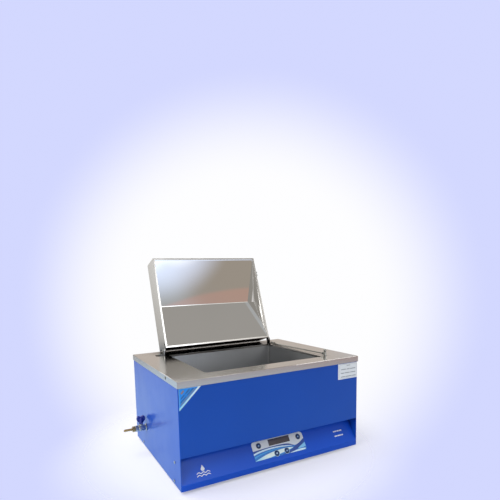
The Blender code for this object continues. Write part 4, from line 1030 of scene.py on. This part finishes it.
def build_world():
    """Plain backdrop for the camera; soft room light, in broad patches, for everything else."""
    world = bpy.data.worlds.new("studio_world")
    bpy.context.scene.world = world
    world.use_nodes = True
    tree = world.node_tree
    tree.nodes.clear()
    new, link = tree.nodes.new, tree.links.new
    toward = new("ShaderNodeTexCoord").outputs["Generated"]

    def patch(azimuth, elevation, full, gone):
        """Output that runs from 1 within one angle of a direction to 0 past another."""
        dot = new("ShaderNodeVectorMath")
        dot.operation = "DOT_PRODUCT"
        dot.inputs[1].default_value = direction(azimuth, elevation)
        link(toward, dot.inputs[0])
        ramp = new("ShaderNodeMapRange")
        ramp.interpolation_type = "SMOOTHSTEP"
        ramp.inputs["From Min"].default_value = math.cos(math.radians(gone))
        ramp.inputs["From Max"].default_value = math.cos(math.radians(full))
        link(dot.outputs["Value"], ramp.inputs["Value"])
        return ramp.outputs["Result"]

    colour = None
    for *shape, add in ROOM_PATCHES.values():
        scaled = new("ShaderNodeVectorMath")
        scaled.operation = "SCALE"
        scaled.inputs[0].default_value = add
        link(patch(*shape), scaled.inputs["Scale"])
        total = new("ShaderNodeVectorMath")
        total.operation = "ADD"
        link(scaled.outputs["Vector"], total.inputs[0])
        if colour is None:
            total.inputs[1].default_value = ROOM
        else:
            link(colour, total.inputs[1])
        colour = total.outputs["Vector"]
    room = new("ShaderNodeBackground")
    link(colour, room.inputs["Color"])

    shade = new("ShaderNodeMix")
    shade.data_type = "RGBA"
    shade.inputs["A"].default_value = (*BACKDROP_FAR, 1.0)
    shade.inputs["B"].default_value = (*BACKDROP_NEAR, 1.0)
    link(patch(*BACKDROP_GLOW), shade.inputs["Factor"])
    plain = new("ShaderNodeBackground")
    link(shade.outputs["Result"], plain.inputs["Color"])
    mix = new("ShaderNodeMixShader")
    link(new("ShaderNodeLightPath").outputs["Is Camera Ray"], mix.inputs["Fac"])
    link(room.outputs["Background"], mix.inputs[1])
    link(plain.outputs["Background"], mix.inputs[2])
    link(mix.outputs["Shader"], new("ShaderNodeOutputWorld").inputs["Surface"])


LAMP_AIM = (0.0, 0.0, 0.25)
# Lamps: place, side of the square, power, colour, and whether a glossy surface mirrors them.
LAMPS = {
    "key_softbox": ((-3.45, -1.15, 2.5), 2.0, 98.0, (1.0, 0.995, 0.98), False),
    "fill_softbox": ((2.8, -0.4, 1.5), 1.4, 19.0, (0.97, 0.98, 1.0), True),
    "top_softbox": ((-1.1, 0.5, 2.5), 1.4, 34.0, (1.0, 1.0, 1.0), False),
}


def build_lamps():
    """Square area lamps that face the middle of the object."""
    for name, (at, side, power, colour, glossy) in LAMPS.items():
        data = bpy.data.lights.new(name, "AREA")
        data.shape, data.size, data.size_y = "RECTANGLE", side, side
        data.energy, data.color = power, colour
        made = bpy.data.objects.new(name, data)
        bpy.context.scene.collection.objects.link(made)
        made.location = at
        made.rotation_mode = "QUATERNION"
        made.rotation_quaternion = (Vector(at) - Vector(LAMP_AIM)).to_track_quat("Z", "Y")
        made.visible_glossy = glossy


CAMERA_PLACE = (-0.592, -1.170, 0.547)
CAMERA_AZIMUTH, CAMERA_DOWN, CAMERA_ROLL = 26.04, 6.37, -1.57
CAMERA_LENS, CAMERA_SENSOR = 28.5, 36.0
CAMERA_SHIFT = (0.0646, 0.1474)


def build_camera():
    """Camera at the viewing angle: azimuth right of +Y, depression and roll in degrees."""
    azimuth, roll = math.radians(CAMERA_AZIMUTH), math.radians(CAMERA_ROLL)
    forward = Vector(direction(CAMERA_AZIMUTH, -CAMERA_DOWN))
    level = Vector((math.cos(azimuth), -math.sin(azimuth), 0.0))
    right = level * math.cos(roll) + level.cross(forward) * math.sin(roll)
    up = right.cross(forward)
    data = bpy.data.cameras.new("camera")
    data.sensor_width, data.lens = CAMERA_SENSOR, CAMERA_LENS
    data.shift_x, data.shift_y = CAMERA_SHIFT
    data.clip_start = 0.05
    made = bpy.data.objects.new("camera", data)
    bpy.context.scene.collection.objects.link(made)
    turn = Matrix((right, up, -forward)).transposed().to_4x4()
    made.matrix_world = Matrix.Translation(CAMERA_PLACE) @ turn
    bpy.context.scene.camera = made


build_floor()
build_world()
build_lamps()
build_camera()
bpy.context.scene.view_settings.view_transform = "Standard"
